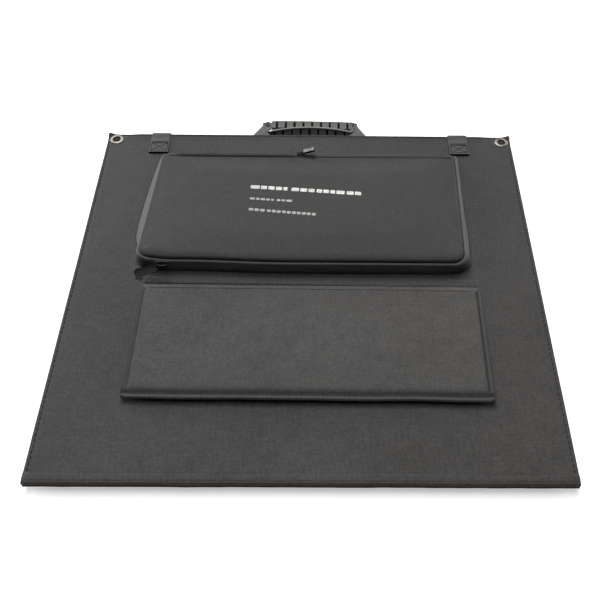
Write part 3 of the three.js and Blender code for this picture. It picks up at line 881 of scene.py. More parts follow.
# rolled flange, barrel and spread inner end: (radius, height from Z_MID)
EYELET = [(5.0, 0.45), (5.05, 3.0)] + [(radius, FACE + rise) for radius, rise in (
    (5.1, 0.45), (5.35, 0.95), (5.9, 1.25), (6.7, 1.34), (7.6, 1.2), (8.4, 0.85), (8.9, 0.4),
    (9.0, 0.12), (8.8, 0.02), (7.6, 0.06), (6.2, 0.05), (5.75, -0.2))] + [(5.7, 0.45)]


def eyelet(side, sign, hand, mirror):
    profile = [(radius, Z_MID + sign * height) for radius, height in EYELET]
    piece(f"{side}_eyelet_ring_{hand}", [lathe(profile, mirror * EYE_X, EYE_Y, sides=72)],
          "nickel", "nickel", side + "_half", f"{side}_eyelet_{hand}")


for half in HALVES:
    half_cover(*half)
for half in HALVES:
    front_frame(*half)
for half in HALVES:
    for hand in HANDS:
        eyelet(*half, *hand)


# ---------------------------------------------------------------- spine
# upper half of the outer side of the sheet, from the cover round to the fold: (y, height
# from Z_MID)
SPINE_HALF = [
    (Y_NEAR + 7.0, FACE - 0.35), (Y_NEAR + 6.2, FACE + 0.03), (Y_NEAR + 4.6, FACE + 0.10),
    (Y_NEAR + 2.4, FACE + 0.12), (Y_NEAR + 0.4, FACE + 0.06), (Y_NEAR - 0.8, FACE - 0.02),
    (Y_NEAR - 1.4, FACE - 0.55), (Y_NEAR - 2.0, FACE - 0.22), (Y_NEAR - 2.9, FACE - 0.50),
    (Y_AXIS + 0.8, FACE - 1.2), (Y_AXIS + 0.15, FACE - 2.3), (Y_AXIS + 0.1, FACE - 3.2),
    (Y_AXIS + 0.6, FACE - 4.1), (Y_AXIS + 1.3, 0.25)]


def spine():
    """one sheet of fabric across the fold"""
    thick, x_end = 0.55, HALF_X - 1.2
    outer = SPINE_HALF + [(Y_AXIS + 1.5, 0.0)] + [(y, -h) for y, h in SPINE_HALF[::-1]]
    inner = []
    for i, (y, height) in enumerate(outer):
        before, after = outer[max(0, i - 1)], outer[min(len(outer) - 1, i + 1)]
        step_y, step_h = after[0] - before[0], after[1] - before[1]
        length = math.hypot(step_y, step_h)
        # the inside never lies nearer than the outside
        inner.append((max(y, y - step_h / length * thick), height + step_y / length * thick))
    rings = []
    for x in spread(-x_end, x_end, 6.0):
        sway = 0.45 * ripple(x, 0, 1, 60) + 0.2 * ripple(x, 3, 1, 17)
        end = max(0.0, 1 - (x_end - abs(x)) / 9)
        ring = []
        for y, height in outer + inner[::-1]:
            shift = sway * (0.3 + 0.7 * (abs(height) > 1.2)) if y < Y_NEAR else 0
            ring.append((x + math.copysign(0.9 * end, x),
                         y + shift + 0.16 * ripple(x, y, height, 11),
                         Z_MID + height * (1 + 0.05 * end)))
        rings.append(ring)
    obj = piece("spine_sheet", [loft(rings, caps="strip")], "spine", "fabric", None,
                "upper_spine_strip", "lower_spine_strip")
    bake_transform(obj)


spine()

# ---------------------------------------------------------------- stand flaps
STAND_DEPTH = 153.2
STAND_HINGE_X, STAND_EDGE_X = 192.75, 191.0  # half widths at the hinge and at the free edge
STAND_CORNER = 3.2
STAND_INSETS = [0, 0.3, 0.8, 1.6, 2.6, 3.6, 4.6, 5.3, 6.0, 6.8, 7.8, 9.0, 10.8, 14]
# heights of the outer face and of the underside: (distance in from the edge, height)
STAND_NEAR = curve([
    (0, 1.2), (0.3, 2.3), (0.8, 2.95), (1.6, 3.1), (2.6, 2.65), (3.6, 2.1), (4.6, 1.65),
    (5.3, 1.4), (6.0, 1.35), (6.8, 1.5), (7.8, 2.1), (9.0, 2.85), (10.8, 3.55), (14, 4.05),
    (45, 4.3)])
STAND_SIDE = curve([
    (0, 1.5), (0.3, 2.45), (0.8, 3.1), (1.6, 3.5), (2.6, 3.58), (3.6, 3.4), (4.6, 3.0),
    (5.3, 2.75), (6.0, 2.85), (6.8, 3.2), (7.8, 3.65), (9.0, 3.9), (10.8, 4.05), (14, 4.12),
    (45, 4.3)])
STAND_UNDER = curve([(0, 1.5), (0.3, 0.9), (0.8, 0.45), (1.6, 0.15), (2.6, 0.0)])
# rows of the hinge sheet, from the cover (y > 0) over the fold onto the flap
HINGE_ROWS = [12.0, 10.5, 7.0, 4.6, 3.9, 3.3, 2.7, 2.1, 1.5, 0.9, 0.4, -0.4, -1.2, -2.5, -4.0,
              -6.0, -8.0]


def stand_half_width(y):
    return STAND_HINGE_X + (STAND_EDGE_X - STAND_HINGE_X) * (-y / STAND_DEPTH)


def stand_plan(x, y):
    half = stand_half_width(y)
    x = x * half / STAND_EDGE_X
    arc_x, arc_y = half - STAND_CORNER, -STAND_DEPTH + STAND_CORNER
    off_x, off_y = abs(x) - arc_x, arc_y - y
    if off_x > 0 and off_y > 0:
        reach, scale = disc_map(off_x, off_y)
        x, y = math.copysign(arc_x + off_x * scale, x), arc_y - off_y * scale
        return x, y, STAND_CORNER - reach
    return x, y, min(half - abs(x), y + STAND_DEPTH)


def stand_under(x, y, inset):
    height = STAND_UNDER(inset)
    return min(height, 0.9) if -y < 2 else height


def stand_border_shade(x, y):
    """painted shade along the sewn border: in its grooves and at its edges"""
    half = stand_half_width(y)
    near, left, right = y + STAND_DEPTH, x + half, half - x

    def streak(distance, centre, width):
        return math.exp(-((distance - centre) / width) ** 2)

    front = 0.50 * streak(near, 7.8, 3.6) + 0.46 * streak(near, 2.0, 2.0)
    groove = 0.75 * streak(right, 4.9, 1.7) + 0.30 * streak(left, 4.6, 3.0)
    edge = 0.9 * streak(left, 0, 3.0) + 0.75 * streak(right, 0, 1.5)
    return max(front, groove * min(1.0, max(0.0, near - 3) / 6), edge)


def hinge_seam_y(x):
    return 2.4 - 1.7 * (x + STAND_HINGE_X) / (2 * STAND_HINGE_X)


class Stand:
    """one flap; in its own frame the hinge is at y = 0, the free edge at y = -STAND_DEPTH"""

    def __init__(self, side, sign):
        self.side, self.sign = side, sign
        joint = side + "_stand_hinge"
        self.pivot = Vector(joint_mm(joint))
        axis = Vector(JOINT[joint]["axis"]) * (-sign)  # along +X at rest
        tilt = math.radians(1.6) if sign > 0 else 0.0
        self.skew = Matrix.Rotation(math.atan2(axis.y, axis.x), 3, "Z")
        self.turn = self.skew @ Matrix.Rotation(-sign * tilt, 3, "X")
        self.flap()
        self.stiffener()
        self.hinge()

    def place(self, x, y, height):
        """a point of the flap, in the world"""
        return tuple(self.pivot + self.turn @ Vector((x, y, self.sign * height)))

    def on_cover(self, x, y, height):
        """a point that stays on the cover, in the world"""
        spot = self.skew @ Vector((x, y, 0))
        x, y = self.pivot.x + spot.x, self.pivot.y + spot.y
        base = Z_TOP if self.sign > 0 else Z_BOTTOM
        return x, y, base + self.sign * (height + edge_wave(x, y))

    def height(self, x, y, inset):
        near, beside = y + STAND_DEPTH, stand_half_width(y) - abs(x)
        if inset < STAND_CORNER and max(near, beside) < STAND_CORNER * 1.5:
            height = STAND_SIDE(inset)
        else:
            height = min(STAND_NEAR(near), STAND_SIDE(beside))
        if -y < 9:  # flattens into the sewn hinge line
            height = 1.3 + (height - 1.3) * (max(0.0, -y - 0.3) / 8.7) ** 0.6
        waves = 0.16 * ripple(x, y, 11 * self.sign, 52) + 0.07 * ripple(x, y, 7, 17)
        crinkle = 0.10 * ripple(x, y, 3, 6) if 1 < inset < 7 else 0
        return height + waves * min(1, max(inset, 0) / 8) + crinkle

    def flap(self):
        xs = grid_lines(-STAND_EDGE_X, STAND_EDGE_X, STAND_INSETS, 6.5)
        ys = ([-STAND_DEPTH + d for d in STAND_INSETS]
              + spread(-STAND_DEPTH + 14, -7.0, 6.0)[1:] + [-4.8, -3.0, -1.8, -1.2])
        sheet, faces = slab(xs, ys, stand_plan, self.height, stand_under)
        verts = []
        for x, y, height in sheet:
            near = y + STAND_DEPTH
            # the sewn edge waves a little
            wave = 0.5 * ripple(x, 0, 5, 70) * (2 - near / 20) if near < 20 else 0
            verts.append(self.place(x, y + wave, height))
        body = self.side + "_stand"
        obj = piece(body + "_flap", [(verts, faces)], "stand", "fabric", body, body + "_cover")
        if self.sign > 0:
            # painted shade in the grooves and along the edges of the upper flap's border
            back = self.turn.inverted()
            paint(obj, lambda x, y, z: stand_border_shade(*(back @ (Vector((x, y, z)) - self.pivot))[:2]))
        # sewn line at the bottom of the groove
        up, seam = tuple(self.turn @ Vector((0, 0, self.sign))), 5.5
        hinge_x, edge_x = STAND_HINGE_X - seam, STAND_EDGE_X - seam
        y = -STAND_DEPTH + seam
        path = trail([(-hinge_x, -6, 5), (-edge_x, y, 5), (edge_x, y, 5), (hinge_x, -6, 5)])
        path = drape(obj, [self.place(*point) for point in path], up)
        sewn = stitches(path, pitch=4.4, length=3.1, radius=0.3, lift=-0.12, up=up)
        piece(body + "_stitching", [sewn], "thread_dark", "fabric", body)

    def stiffener(self):
        """the stiff board, well inside the sewn border"""
        border, far_y, insets = 11.0, -10.0, [0, 0.6, 3]
        x, y = STAND_EDGE_X - border, -STAND_DEPTH + border
        verts, faces = slab(
            grid_lines(-x, x, insets, 24), grid_lines(y, far_y, insets, 24),
            rect_plan(-x, x, y, far_y, near_r=3, far_r=3),
            lambda x, y, inset: 2.5 if inset > 0.5 else 2.2,
            lambda x, y, inset: 1.2 if inset > 0.5 else 1.6)
        body = self.side + "_stand"
        piece(body + "_stiffener", [([self.place(*v) for v in verts], faces)], "board",
              "board", body, body + "_board")

    def hinge(self):
        """sewn strip: on the cover behind the hinge line, on the flap in front of it"""
        xs = spread(-STAND_HINGE_X + 0.6, STAND_HINGE_X - 0.6, 6.0)
        verts = []
        for y in HINGE_ROWS:
            for x in xs:
                if y >= 0.3:
                    rise = 0.15 if y < 3.2 else 0.52 if y < 10 else 0.20
                    verts += [self.on_cover(x, y, rise + 0.05 * ripple(x, y, 1, 20)),
                              self.on_cover(x, y, -0.1)]
                else:
                    height = self.height(x, y, min(STAND_HINGE_X - abs(x), 30))
                    rise = 0.16 if y > -7 else 0.05
                    verts += [self.place(x, y, height + rise),
                              self.place(x, y, height - 0.25)]
        count, row, faces = len(xs), 2 * len(xs), []
        last = (len(HINGE_ROWS) - 1) * row
        for i in range(len(HINGE_ROWS) - 1):
            for j in range(count - 1):
                a = i * row + 2 * j
                faces += [(a, a + 2, a + row + 2, a + row),
                          (a + 1, a + row + 1, a + row + 3, a + 3)]
        for a in range(0, row - 2, 2):
            faces += [(a, a + 1, a + 3, a + 2),
                      (last + a, last + a + 2, last + a + 3, last + a + 1)]
        for a in range(0, last, row):
            end = a + row - 2
            faces += [(a, a + row, a + row + 1, a + 1),
                      (end, end + 1, end + row + 1, end + row)]
        body = self.side + "_stand"
        obj = piece(body + "_hinge_sheet", [(verts, faces)], "hinge", "fabric", None,
                    body + "_hinge_tape")
        back = self.skew.inverted()

        # painted shade along the hinge seam, where it sinks into the fold
        def seam_shade(x, y, z):
            spot = back @ (Vector((x, y, z)) - self.pivot)
            return 0.66 * math.exp(-((spot.y - hinge_seam_y(spot.x)) / 1.1) ** 2)

        paint(obj, seam_shade)
        # the hinge seam, sunk into the fold
        path = [self.on_cover(x, hinge_seam_y(x) + 0.25 * ripple(x, 0, 8, 80), 0.06)
                for x in spread(-STAND_HINGE_X + 4, STAND_HINGE_X - 3, 3.1)]
        sewn = stitches(path, pitch=4.6, length=3.3, radius=0.52, lift=0.0,
                        up=(0, 0, self.sign))
        half = self.side + "_half"
        piece(self.side + "_hinge_stitching", [sewn], "thread_dark", "fabric", half)
        x, y, z = self.pivot
        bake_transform(obj)


for half in HALVES:
    Stand(*half)

# ---------------------------------------------------------------- pocket
# The pocket is built with one height all over, then wedge() makes it lower towards +Y.
POCKET_NEAR, POCKET_FAR = Y_FAR - 241.6, Y_FAR - 43.5
POCKET_W, POCKET_FAR_W = 401.0, 386.0
POCKET_X = POCKET_W / 2
POCKET_CORNER, POCKET_FAR_CORNER = 16.0, 7.0
POCKET_FAR_SCALE = 0.38  # height at the far edge over height at the near edge
POCKET_LEAN = 5.3  # shift in +Y per 20 mm of height, at the near edge
POCKET_TUCK = 0.07  # narrowing per 20 mm of height
POCKET_SHIFT = (-5.8, 1.2)  # shift in X at the near and far edges


def pocket_run(y):
    """0 at the near edge of the pocket, 1 at the far edge"""
    return (y - POCKET_NEAR) / (POCKET_FAR - POCKET_NEAR)


def pocket_scale(y):
    return 1 + (POCKET_FAR_SCALE - 1) * pocket_run(y)


def wedge(x, y, height):
    """world place of a pocket point"""
    arc_x, arc_y = POCKET_X - POCKET_FAR_CORNER, POCKET_FAR - POCKET_FAR_CORNER
    off_x, off_y = abs(x) - arc_x, y - arc_y
    if off_x > 0 and off_y > 0:
        _, scale = disc_map(off_x, off_y)
        x, y = math.copysign(arc_x + off_x * scale, x), arc_y + off_y * scale
    run = pocket_run(y)
    height *= pocket_scale(y)
    # the sewn near edge runs in a little on the left
    soft = 3.4 * ease((-20 - x) / 120) * max(0.0, 1 - max(0.0, run) / 0.45)
    soft += 4.2 * ease((-158 - x) / 42) * max(0.0, 1 - max(0.0, run) / 0.4)
    narrow = (1 - POCKET_TUCK * height / 20) * (1 - (1 - POCKET_FAR_W / POCKET_W) * run)
    shift = POCKET_SHIFT[0] + (POCKET_SHIFT[1] - POCKET_SHIFT[0]) * run
    return (x * narrow + shift, y + POCKET_LEAN * (height / 20) * (1 - run) + soft,
            Z_TOP + height)


def pocket_path(step, far_in=0.0):
    """(x, y, outward x, outward y) down the left side, along the near edge, up the right"""
    far_y, arc_x, arc_y = POCKET_FAR - far_in, POCKET_X - POCKET_CORNER, POCKET_NEAR + POCKET_CORNER

    def corner(mirror, start):
        angles = [start + i / 10 * math.pi / 2 for i in range(1, 10)]
        return [(mirror * arc_x + POCKET_CORNER * math.cos(a),
                 arc_y + POCKET_CORNER * math.sin(a), math.cos(a), math.sin(a))
                for a in angles]

    return ([(-POCKET_X, y, -1, 0) for y in spread(far_y, arc_y, step)]
            + corner(-1, math.pi)
            + [(x, POCKET_NEAR, 0, -1) for x in spread(-arc_x, arc_x, step)]
            + corner(1, 1.5 * math.pi)
            + [(POCKET_X, y, 1, 0) for y in spread(arc_y, far_y, step)])


# shift in X of the foot of the left wall: (y, shift)
LEFT_LEAN = curve([
    (-10, 2.0), (8, 2.6), (20, 2.4), (30, 0.6), (45, -4.0), (67, -5.8), (100, -6.4),
    (128, -6.0), (155, -5.3), (175, -3.5), (187, -1.0), (190, 0)])


def foot_in(x, y, out_x, out_y):
    """how far the foot of the gusset is drawn in below the lip, most at the near corners"""
    if abs(out_x) > 0.999:
        run = max(0.0, y - (POCKET_NEAR + POCKET_CORNER))
        return 2.0 * max(0.0, 1 - run / 34) ** 1.5
    if out_x * out_y:
        return 2.0 + 5.6 * abs(out_x * out_y)
    return 2.0 * max(0.0, 1 - (POCKET_X - POCKET_CORNER - abs(x)) / 28) ** 1.5


def band(profile, far_in=0.0, wobble=0.0, step=3.5, side_up=0.0):
    """closed strip round the pocket; profile is a loop of (outward, height)"""
    rings = []
    for x, y, out_x, out_y in pocket_path(step, far_in):
        ring = []
        for out, height in profile:
            low = max(0.0, 1 - height / 14.0)
            if out > -0.6 and 2 < height < 13:
                out += wobble * ripple(x, y, height * 2, 30)
            out -= foot_in(x, y, out_x, out_y) * low
            rise = side_up * out_x * out_x * max(0.0, (height - 9) / 6.6)
            px, py, pz = wedge(x + out_x * out, y + out_y * out, height + rise)
            if out_x < -0.2:
                px += LEFT_LEAN(y) * out_x * out_x * low
            ring.append((px, py, pz))
        rings.append(ring)
    return loft(rings, caps="flipped")


# (outward, height): a sewn foot, a wall that bellies slightly, an outward-turned lip, then
# the inner side back down
GUSSET = [
    (-1.9, 0.12), (-1.75, 0.6), (-1.0, 2.2), (-0.25, 4.2), (0.35, 6.5), (0.75, 9),
    (1.05, 11.3), (1.45, 13.0), (1.65, 14.1), (1.45, 15.0), (0.9, 15.6), (0.0, 15.75),
    (-0.9, 15.5), (-1.4, 14.5), (-1.6, 10), (-1.9, 6), (-2.6, 2), (-3.0, 0.3)]
GUSSET_OUT = curve([(0, -1.9)] + [(height, out) for out, height in GUSSET[2:9]])
FAR_WALL = [(0.9, 0.3), (0.4, 0.9), (0.0, 2.5), (0.0, 17.6), (-0.5, 17.9), (-1.1, 17.6),
            (-1.2, 0.3)]


# darkening of the gusset: an even share that sets the wall's tone; painted shade at the near
# corners below the lip; the near wall's lip a little darker, and the side walls lighter towards +Y,
# the right more than the left, to even out their light
def gusset_tone_and_shade(x, y, z):
    far = ease((y - 6) / 20)
    height = (z - Z_TOP) / pocket_scale(y)
    corner = 0.40 * (1 - far) * ease((abs(x) - 160) / 25) * ease((13.6 - height) / 1.5)
    if x < -180:
        return 0.50 * (1 - far) + corner + 0.40 * far
    if x > 180:
        return 0.46 - 0.14 * far + corner
    return 0.46 + corner + 0.10 * ease((height - 12.5) / 1.5)


def pocket_walls():
    gusset = band(GUSSET, wobble=0.7, step=3.0, side_up=1.9)
    obj = piece("pocket_gusset_wall", [gusset], "gusset", "fabric", "upper_half",
                "pocket_gusset")
    paint(obj, gusset_tone_and_shade)
    rings = [[wedge(x, POCKET_FAR + out, height) for out, height in FAR_WALL]
             for x in spread(-POCKET_X + 0.5, POCKET_X - 0.5, 7)]
    piece("pocket_far_wall", [loft(rings)], "pocket", "fabric", "upper_half")


def gusset_sewing():
    path = []
    for x, y, out_x, out_y in pocket_path(3.5):
        inset = 1.5 + foot_in(x, y, out_x, out_y)
        px, py, pz = wedge(x - out_x * inset, y - out_y * inset, 0.45)
        lean = LEFT_LEAN(y) * out_x * out_x if out_x < -0.2 else 0
        path.append((px + lean, py, pz))
    sewn = stitches(path, pitch=4.6, length=3.2, radius=0.3, lift=0.0)
    piece("pocket_base_stitching", [sewn], "thread_dark", "fabric", "upper_half")
    # two upright seams in the near wall, each a thick and a thin line
    parts = []
    for mirror in (-1, 1):
        for x, radius in ((163.0, 0.45), (164.4, 0.22)):
            line = [wedge(mirror * x, POCKET_NEAR - GUSSET_OUT(height) + 0.1, height)
                    for height in spread(0.8, 14.0, 1.3)]
            parts.append(tube(line, radius, 6))
    obj = piece("gusset_seams", parts, "gusset", "fabric", "upper_half")
    paint(obj, lambda x, y, z: 0.5)


pocket_walls()
gusset_sewing()

# faces of a zipper tooth: two rings of four points
TOOTH = [(0, 1, 2, 3), (7, 6, 5, 4), (0, 4, 5, 1), (1, 5, 6, 2), (2, 6, 7, 3), (3, 7, 4, 0)]


def zipper_band(name, bottom, top, body, sign):
    """tape sunk behind the lip, with coil teeth along its upper (sign 1) or lower edge"""
    middle = (bottom + top) / 2
    tape = [(-1.55, bottom), (-1.5, bottom + 0.1), (-1.5, middle), (-1.5, top - 0.1),
            (-1.55, top), (-2.3, top), (-2.45, middle), (-2.3, bottom)]
    piece(name, [band(tape, far_in=3.6)], "tape", "zipper", body, name + "_tape")
    edge, offset = (top, 0.0) if sign > 0 else (bottom, 0.95)
    parts = []
    for x, y, out_x, out_y in pocket_path(0.95, far_in=4.5)[::2]:
        tooth = []
        for along in (offset - 0.42, offset + 0.42):
            for out, rise in ((-1.5, -0.95), (-1.0, -0.7), (-0.95, 0.2), (-1.5, 0.3)):
                tooth.append(wedge(x + out_x * out - out_y * along,
                                   y + out_y * out + out_x * along, edge + sign * rise))
        parts.append((tooth, TOOTH))
    piece(name + "_coil", parts, "coil", "zipper", body, smooth=False)


zipper_band("main_zipper_lower", 13.7, 16.2, "upper_half", 1)
zipper_band("main_zipper_upper", 16.4, 18.8, "pocket_flap", -1)


# ---------------------------------------------------------------- pocket front
def read_coords(mesh):
    coords = np.empty(len(mesh.vertices) * 3)
    mesh.vertices.foreach_get("co", coords)
    return coords.reshape(-1, 3)


CLOTH = dict(
    quality=5, mass=0.3, tension_stiffness=15, compression_stiffness=15, shear_stiffness=5,
    bending_stiffness=0.5, use_pressure=True, uniform_pressure_force=4.0,
    vertex_group_mass="pin")
CLOTH_FRAMES = 20


def grow(name, part, pinned, limit):
    """blows a body up by cloth pressure, each vertex by no more than limit mm, and returns
    how far its upper face rose at (x, y)"""
    source = make(name, [part])
    bake(source, REMESH=dict(mode="VOXEL", voxel_size=0.005))
    mesh = source.data
    rest = read_coords(mesh)
    polygons = [tuple(polygon.vertices) for polygon in mesh.polygons]
    before = BVHTree.FromPolygons([tuple(c) for c in rest], polygons)
    group = source.vertex_groups.new(name="pin")
    group.add([k for k, c in enumerate(rest) if pinned(*(c * 1000))], 1.0, "ADD")
    cloth = source.modifiers.new("cloth", "CLOTH")
    for key, value in CLOTH.items():
        setattr(cloth.settings, key, value)
    cloth.settings.effector_weights.gravity = 0
    cloth.collision_settings.use_collision = False
    cloth.point_cache.frame_start, cloth.point_cache.frame_end = 1, CLOTH_FRAMES
    for i in range(1, CLOTH_FRAMES + 1):
        scene.frame_set(i)
    graph = bpy.context.evaluated_depsgraph_get()
    moved = read_coords(source.evaluated_get(graph).to_mesh()) - rest
    source.modifiers.clear()
    scene.frame_set(1)
    length = np.linalg.norm(moved, axis=1)
    limit /= 1000
    moved *= np.where(length > limit, limit / np.maximum(length, 1e-12), 1)[:, None]
    after = BVHTree.FromPolygons([tuple(c) for c in rest + moved], polygons)
    bpy.data.objects.remove(source)
    down = Vector((0, 0, -1))

    def lift(x, y):
        origin = Vector((x / 1000, y / 1000, 0.3))
        low, high = before.ray_cast(origin, down)[0], after.ray_cast(origin, down)[0]
        return (high.z - low.z) * 1000 if low is not None and high is not None else 0.0

    return lift


# outline of the front panel before wedge()
FRONT_INSET = 0.6
FRONT_X = POCKET_X - FRONT_INSET
FRONT_NEAR, FRONT_FAR = POCKET_NEAR + FRONT_INSET, POCKET_FAR - 6.4
FRONT_CORNER = POCKET_CORNER - FRONT_INSET


def stuffed_lift():
    """rise of the stuffed pocket's upper face"""
    x, y0, y1, top = FRONT_X - 1, FRONT_NEAR + 1, FRONT_FAR + 4, 20.6
    insets = [0, 3, 8, 15]
    verts, faces = slab(
        grid_lines(-x, x, insets, 9), grid_lines(y0, y1, insets, 9),
        rect_plan(-x, x, y0, y1, near_r=FRONT_CORNER, far_r=1),
        lambda x, y, inset: top, lambda x, y, inset: top - 9 / pocket_scale(y))

    def pinned(x, y, z):
        scale = pocket_scale(y)
        edge = min(x - wedge(-FRONT_X, y, 20)[0], wedge(FRONT_X, y, 20)[0] - x,
                   y - wedge(0, FRONT_NEAR, 20)[1], wedge(0, y1, 20)[1] - y)
        return edge < 4.5 or (z - Z_TOP) / scale < top - 4 / scale

    return grow("pocket_body", ([wedge(*v) for v in verts], faces), pinned, limit=3.0)


def outward(x, y):
    """outward direction at a place near the edge of the front panel"""
    left, right, near = x + FRONT_X, FRONT_X - x, y - FRONT_NEAR
    if min(left, right) < FRONT_CORNER and near < FRONT_CORNER:
        arc_x = math.copysign(FRONT_X - FRONT_CORNER, right - left) * -1
        angle = math.atan2(near - FRONT_CORNER, x - arc_x)
        return math.cos(angle), math.sin(angle)
    if left < 9:
        return -1.0, 0.0
    if right < 9:
        return 1.0, 0.0
    return 0.0, -1.0


def front_point(x, y, inset, lift):
    """world place of a point of the front panel, and its painted shade: darkest at the edge that
    rolls over its seam, widest along the near side
    """
    left, right, near = x + FRONT_X, FRONT_X - x, y - FRONT_NEAR
    in_corner = min(left, right) < FRONT_CORNER and near < FRONT_CORNER
    edge = max(0.0, inset if in_corner else min(left, right, near))
    far_fade = clamp((FRONT_FAR - y) / 14)
    near_roll = clamp((18 - near) / 9)
    drop = 2.9 * max(near_roll, 0.48 * ease((x - 120) / 60))
    roll = math.sqrt(max(0.0, 1 - max(0.0, 1 - edge / 10.0) ** 2))
    dome = (2.1 + drop) * ((1 - near_roll) * (1 - math.exp(-edge / 5.0)) + near_roll * roll)
    waves = 0.50 * ripple(x, y, 6, 70) + 0.22 * ripple(x, y, 1, 24)
    dome += waves * min(1.0, edge / 25) * (0.3 + 0.7 * far_fade)
    spot = Vector(wedge(x, y, 18.9 - drop + dome))
    if lift:
        spot.z += lift(spot.x, spot.y) * min(1.0, edge / 6) * (0.2 + 0.8 * far_fade)
    middle = math.exp(-((spot.y - 95) / 55) ** 2)
    spot.x += (-1.7 * ease((-spot.x - 110) / 70)
               - (0.6 + 1.3 * middle) * ease((spot.x - 110) / 70))
    if edge < 5:  # the edge rolls over its seam, most at the near side
        out_x, out_y = outward(x, y)
        out = 1.3 * math.sin(edge / 5.0 * math.pi) * (0.15 + 0.85 * clamp((26 - near) / 26))
        spot.x += out_x * out
        spot.y += out_y * out
    # painted shade where the edge rolls over, wider along the near side
    soft = 1.9 + 2.1 * near_roll
    return tuple(spot), (0.68 + 0.2 * near_roll) * math.exp(-(edge / soft) ** 2)


def front_panel():
    """padded front of the pocket, raised by the shape of the stuffed body"""
    lift = stuffed_lift()
    insets = [0, 1.2, 2.6, 4.2, 6.2, 8.6, 11.6, 15.4]
    xs = grid_lines(-FRONT_X, FRONT_X, insets, 5.2)
    ys = ([FRONT_NEAR + d for d in insets]
          + spread(FRONT_NEAR + insets[-1], FRONT_FAR, 5.2)[1:])
    plan = rect_plan(-FRONT_X, FRONT_X, FRONT_NEAR, FRONT_FAR, FRONT_CORNER, far_r=0.4)
    verts, dark = zip(*[front_point(*plan(x, y), lift) for x in xs for y in ys])
    row = len(ys)
    faces = [(i * row + j, (i + 1) * row + j, (i + 1) * row + j + 1, i * row + j + 1)
             for i in range(len(xs) - 1) for j in range(row - 1)]
    mesh = raw_mesh("pocket_front", verts, faces)
    obj = add_object("pocket_front", mesh)
    mesh.materials.append(MAT["pocket"])
    # painted shade along the rolled edges
    set_dark(mesh, dark)
    bake(obj, SOLIDIFY=dict(thickness=0.0009, offset=-1, use_even_offset=False),
         SUBSURF=dict(levels=1, render_levels=1))
    set_smooth(obj)
    fit(obj, "fabric", "pocket_flap", "pocket_front_panel")
    return obj


def flap_lining():
    x, y0, y1 = POCKET_X - 1.8, POCKET_NEAR + 1.8, POCKET_FAR - 0.5
    insets = [0, 1.5, 5, 10, 15]
    verts, faces = slab(
        grid_lines(-x, x, insets, 9), grid_lines(y0, y1, insets, 9),
        rect_plan(-x, x, y0, y1, near_r=15, far_r=0.4),
        lambda x, y, inset: 18.85, lambda x, y, inset: 18.3 + 0.1 * ripple(x, y, 2, 30))
    piece("flap_lining", [([wedge(*v) for v in verts], faces)], "lining", "lining",
          "pocket_flap", "pocket_flap_lining")


def top_zipper():
    """zipper along the pocket's far edge: closed to the right of its slider, open to the
    left"""
    slider_x, middle = -11.0, POCKET_FAR - 3.3
    seam, front = POCKET_FAR - 0.9, POCKET_FAR - 6.4

    def gap(x):
        return 0.2 + 0.95 * clamp((slider_x - x) / 22.0) * clamp((x + POCKET_X - 10) / 14.0)

    back_rings, front_rings = [], []
    for x in spread(-POCKET_X + 6, POCKET_X - 6, 4.0):
        opening = gap(x)
        lip = min(1, (opening - 0.2) / 0.9)
        sway = 0.18 * ripple(x, 0, 2, 26)
        back, fore = middle + opening, middle - opening
        # (y, height) of the strip behind the gap, and of the lip in front of it
        back_rings.append([wedge(x, y, height) for y, height in (
            (seam + 0.2, 19.3), (seam, 20.6), (back + 0.9, 21.6), (back + sway, 21.4),
            (back + sway, 19.6), (seam - 0.3, 19.2))])
        front_rings.append([wedge(x, y, height) for y, height in (
            (fore + sway * 0.5, 19.6), (fore + sway * 0.5, 22.0 + lip),
            (fore - 1.1, 22.7 + lip * 3.4), (fore - 2.0, 22.3 + lip * 3.0),
            (front - 0.6, 21.7 + lip * 0.6), (front - 1.8, 20.8), (front - 1.6, 19.2))])
    parts = [loft(rings, caps="flipped") for rings in (back_rings, front_rings)]
    piece("top_zipper_lips", parts, "pocket", "fabric", "pocket_flap", "top_zipper_tape")
    teeth = []
    for x in spread(-POCKET_X + 8, POCKET_X - 8, 1.9):
        for sign, shift in ((-1, 0), (1, 0.95)):
            y = middle + sign * (gap(x) * 0.75)
            tip = y - sign * 0.95
            tooth = [wedge(x + half + shift, py, height) for half in (-0.4, 0.4)
                     for py, height in ((y, 18.6), (tip, 19.0), (tip, 21.1), (y, 21.4))]
            teeth.append((tooth, TOOTH))
    piece("top_zipper_coil", teeth, "coil", "zipper", "pocket_flap", smooth=False)


FRONT = front_panel()
flap_lining()
top_zipper()

# ---------------------------------------------------------------- sliders and pulls
# one side of a slider plate: (along, across)
SLIDER_PLATE = [(-5.3, -1.32), (-3.71, -2.4), (1.06, -2.9), (4.24, -2.61), (5.3, -1.45)]
WALL = [(0, 1, 3, 2), (4, 6, 7, 5), (0, 4, 5, 1), (2, 3, 7, 6), (0, 2, 6, 4), (1, 5, 7, 3)]


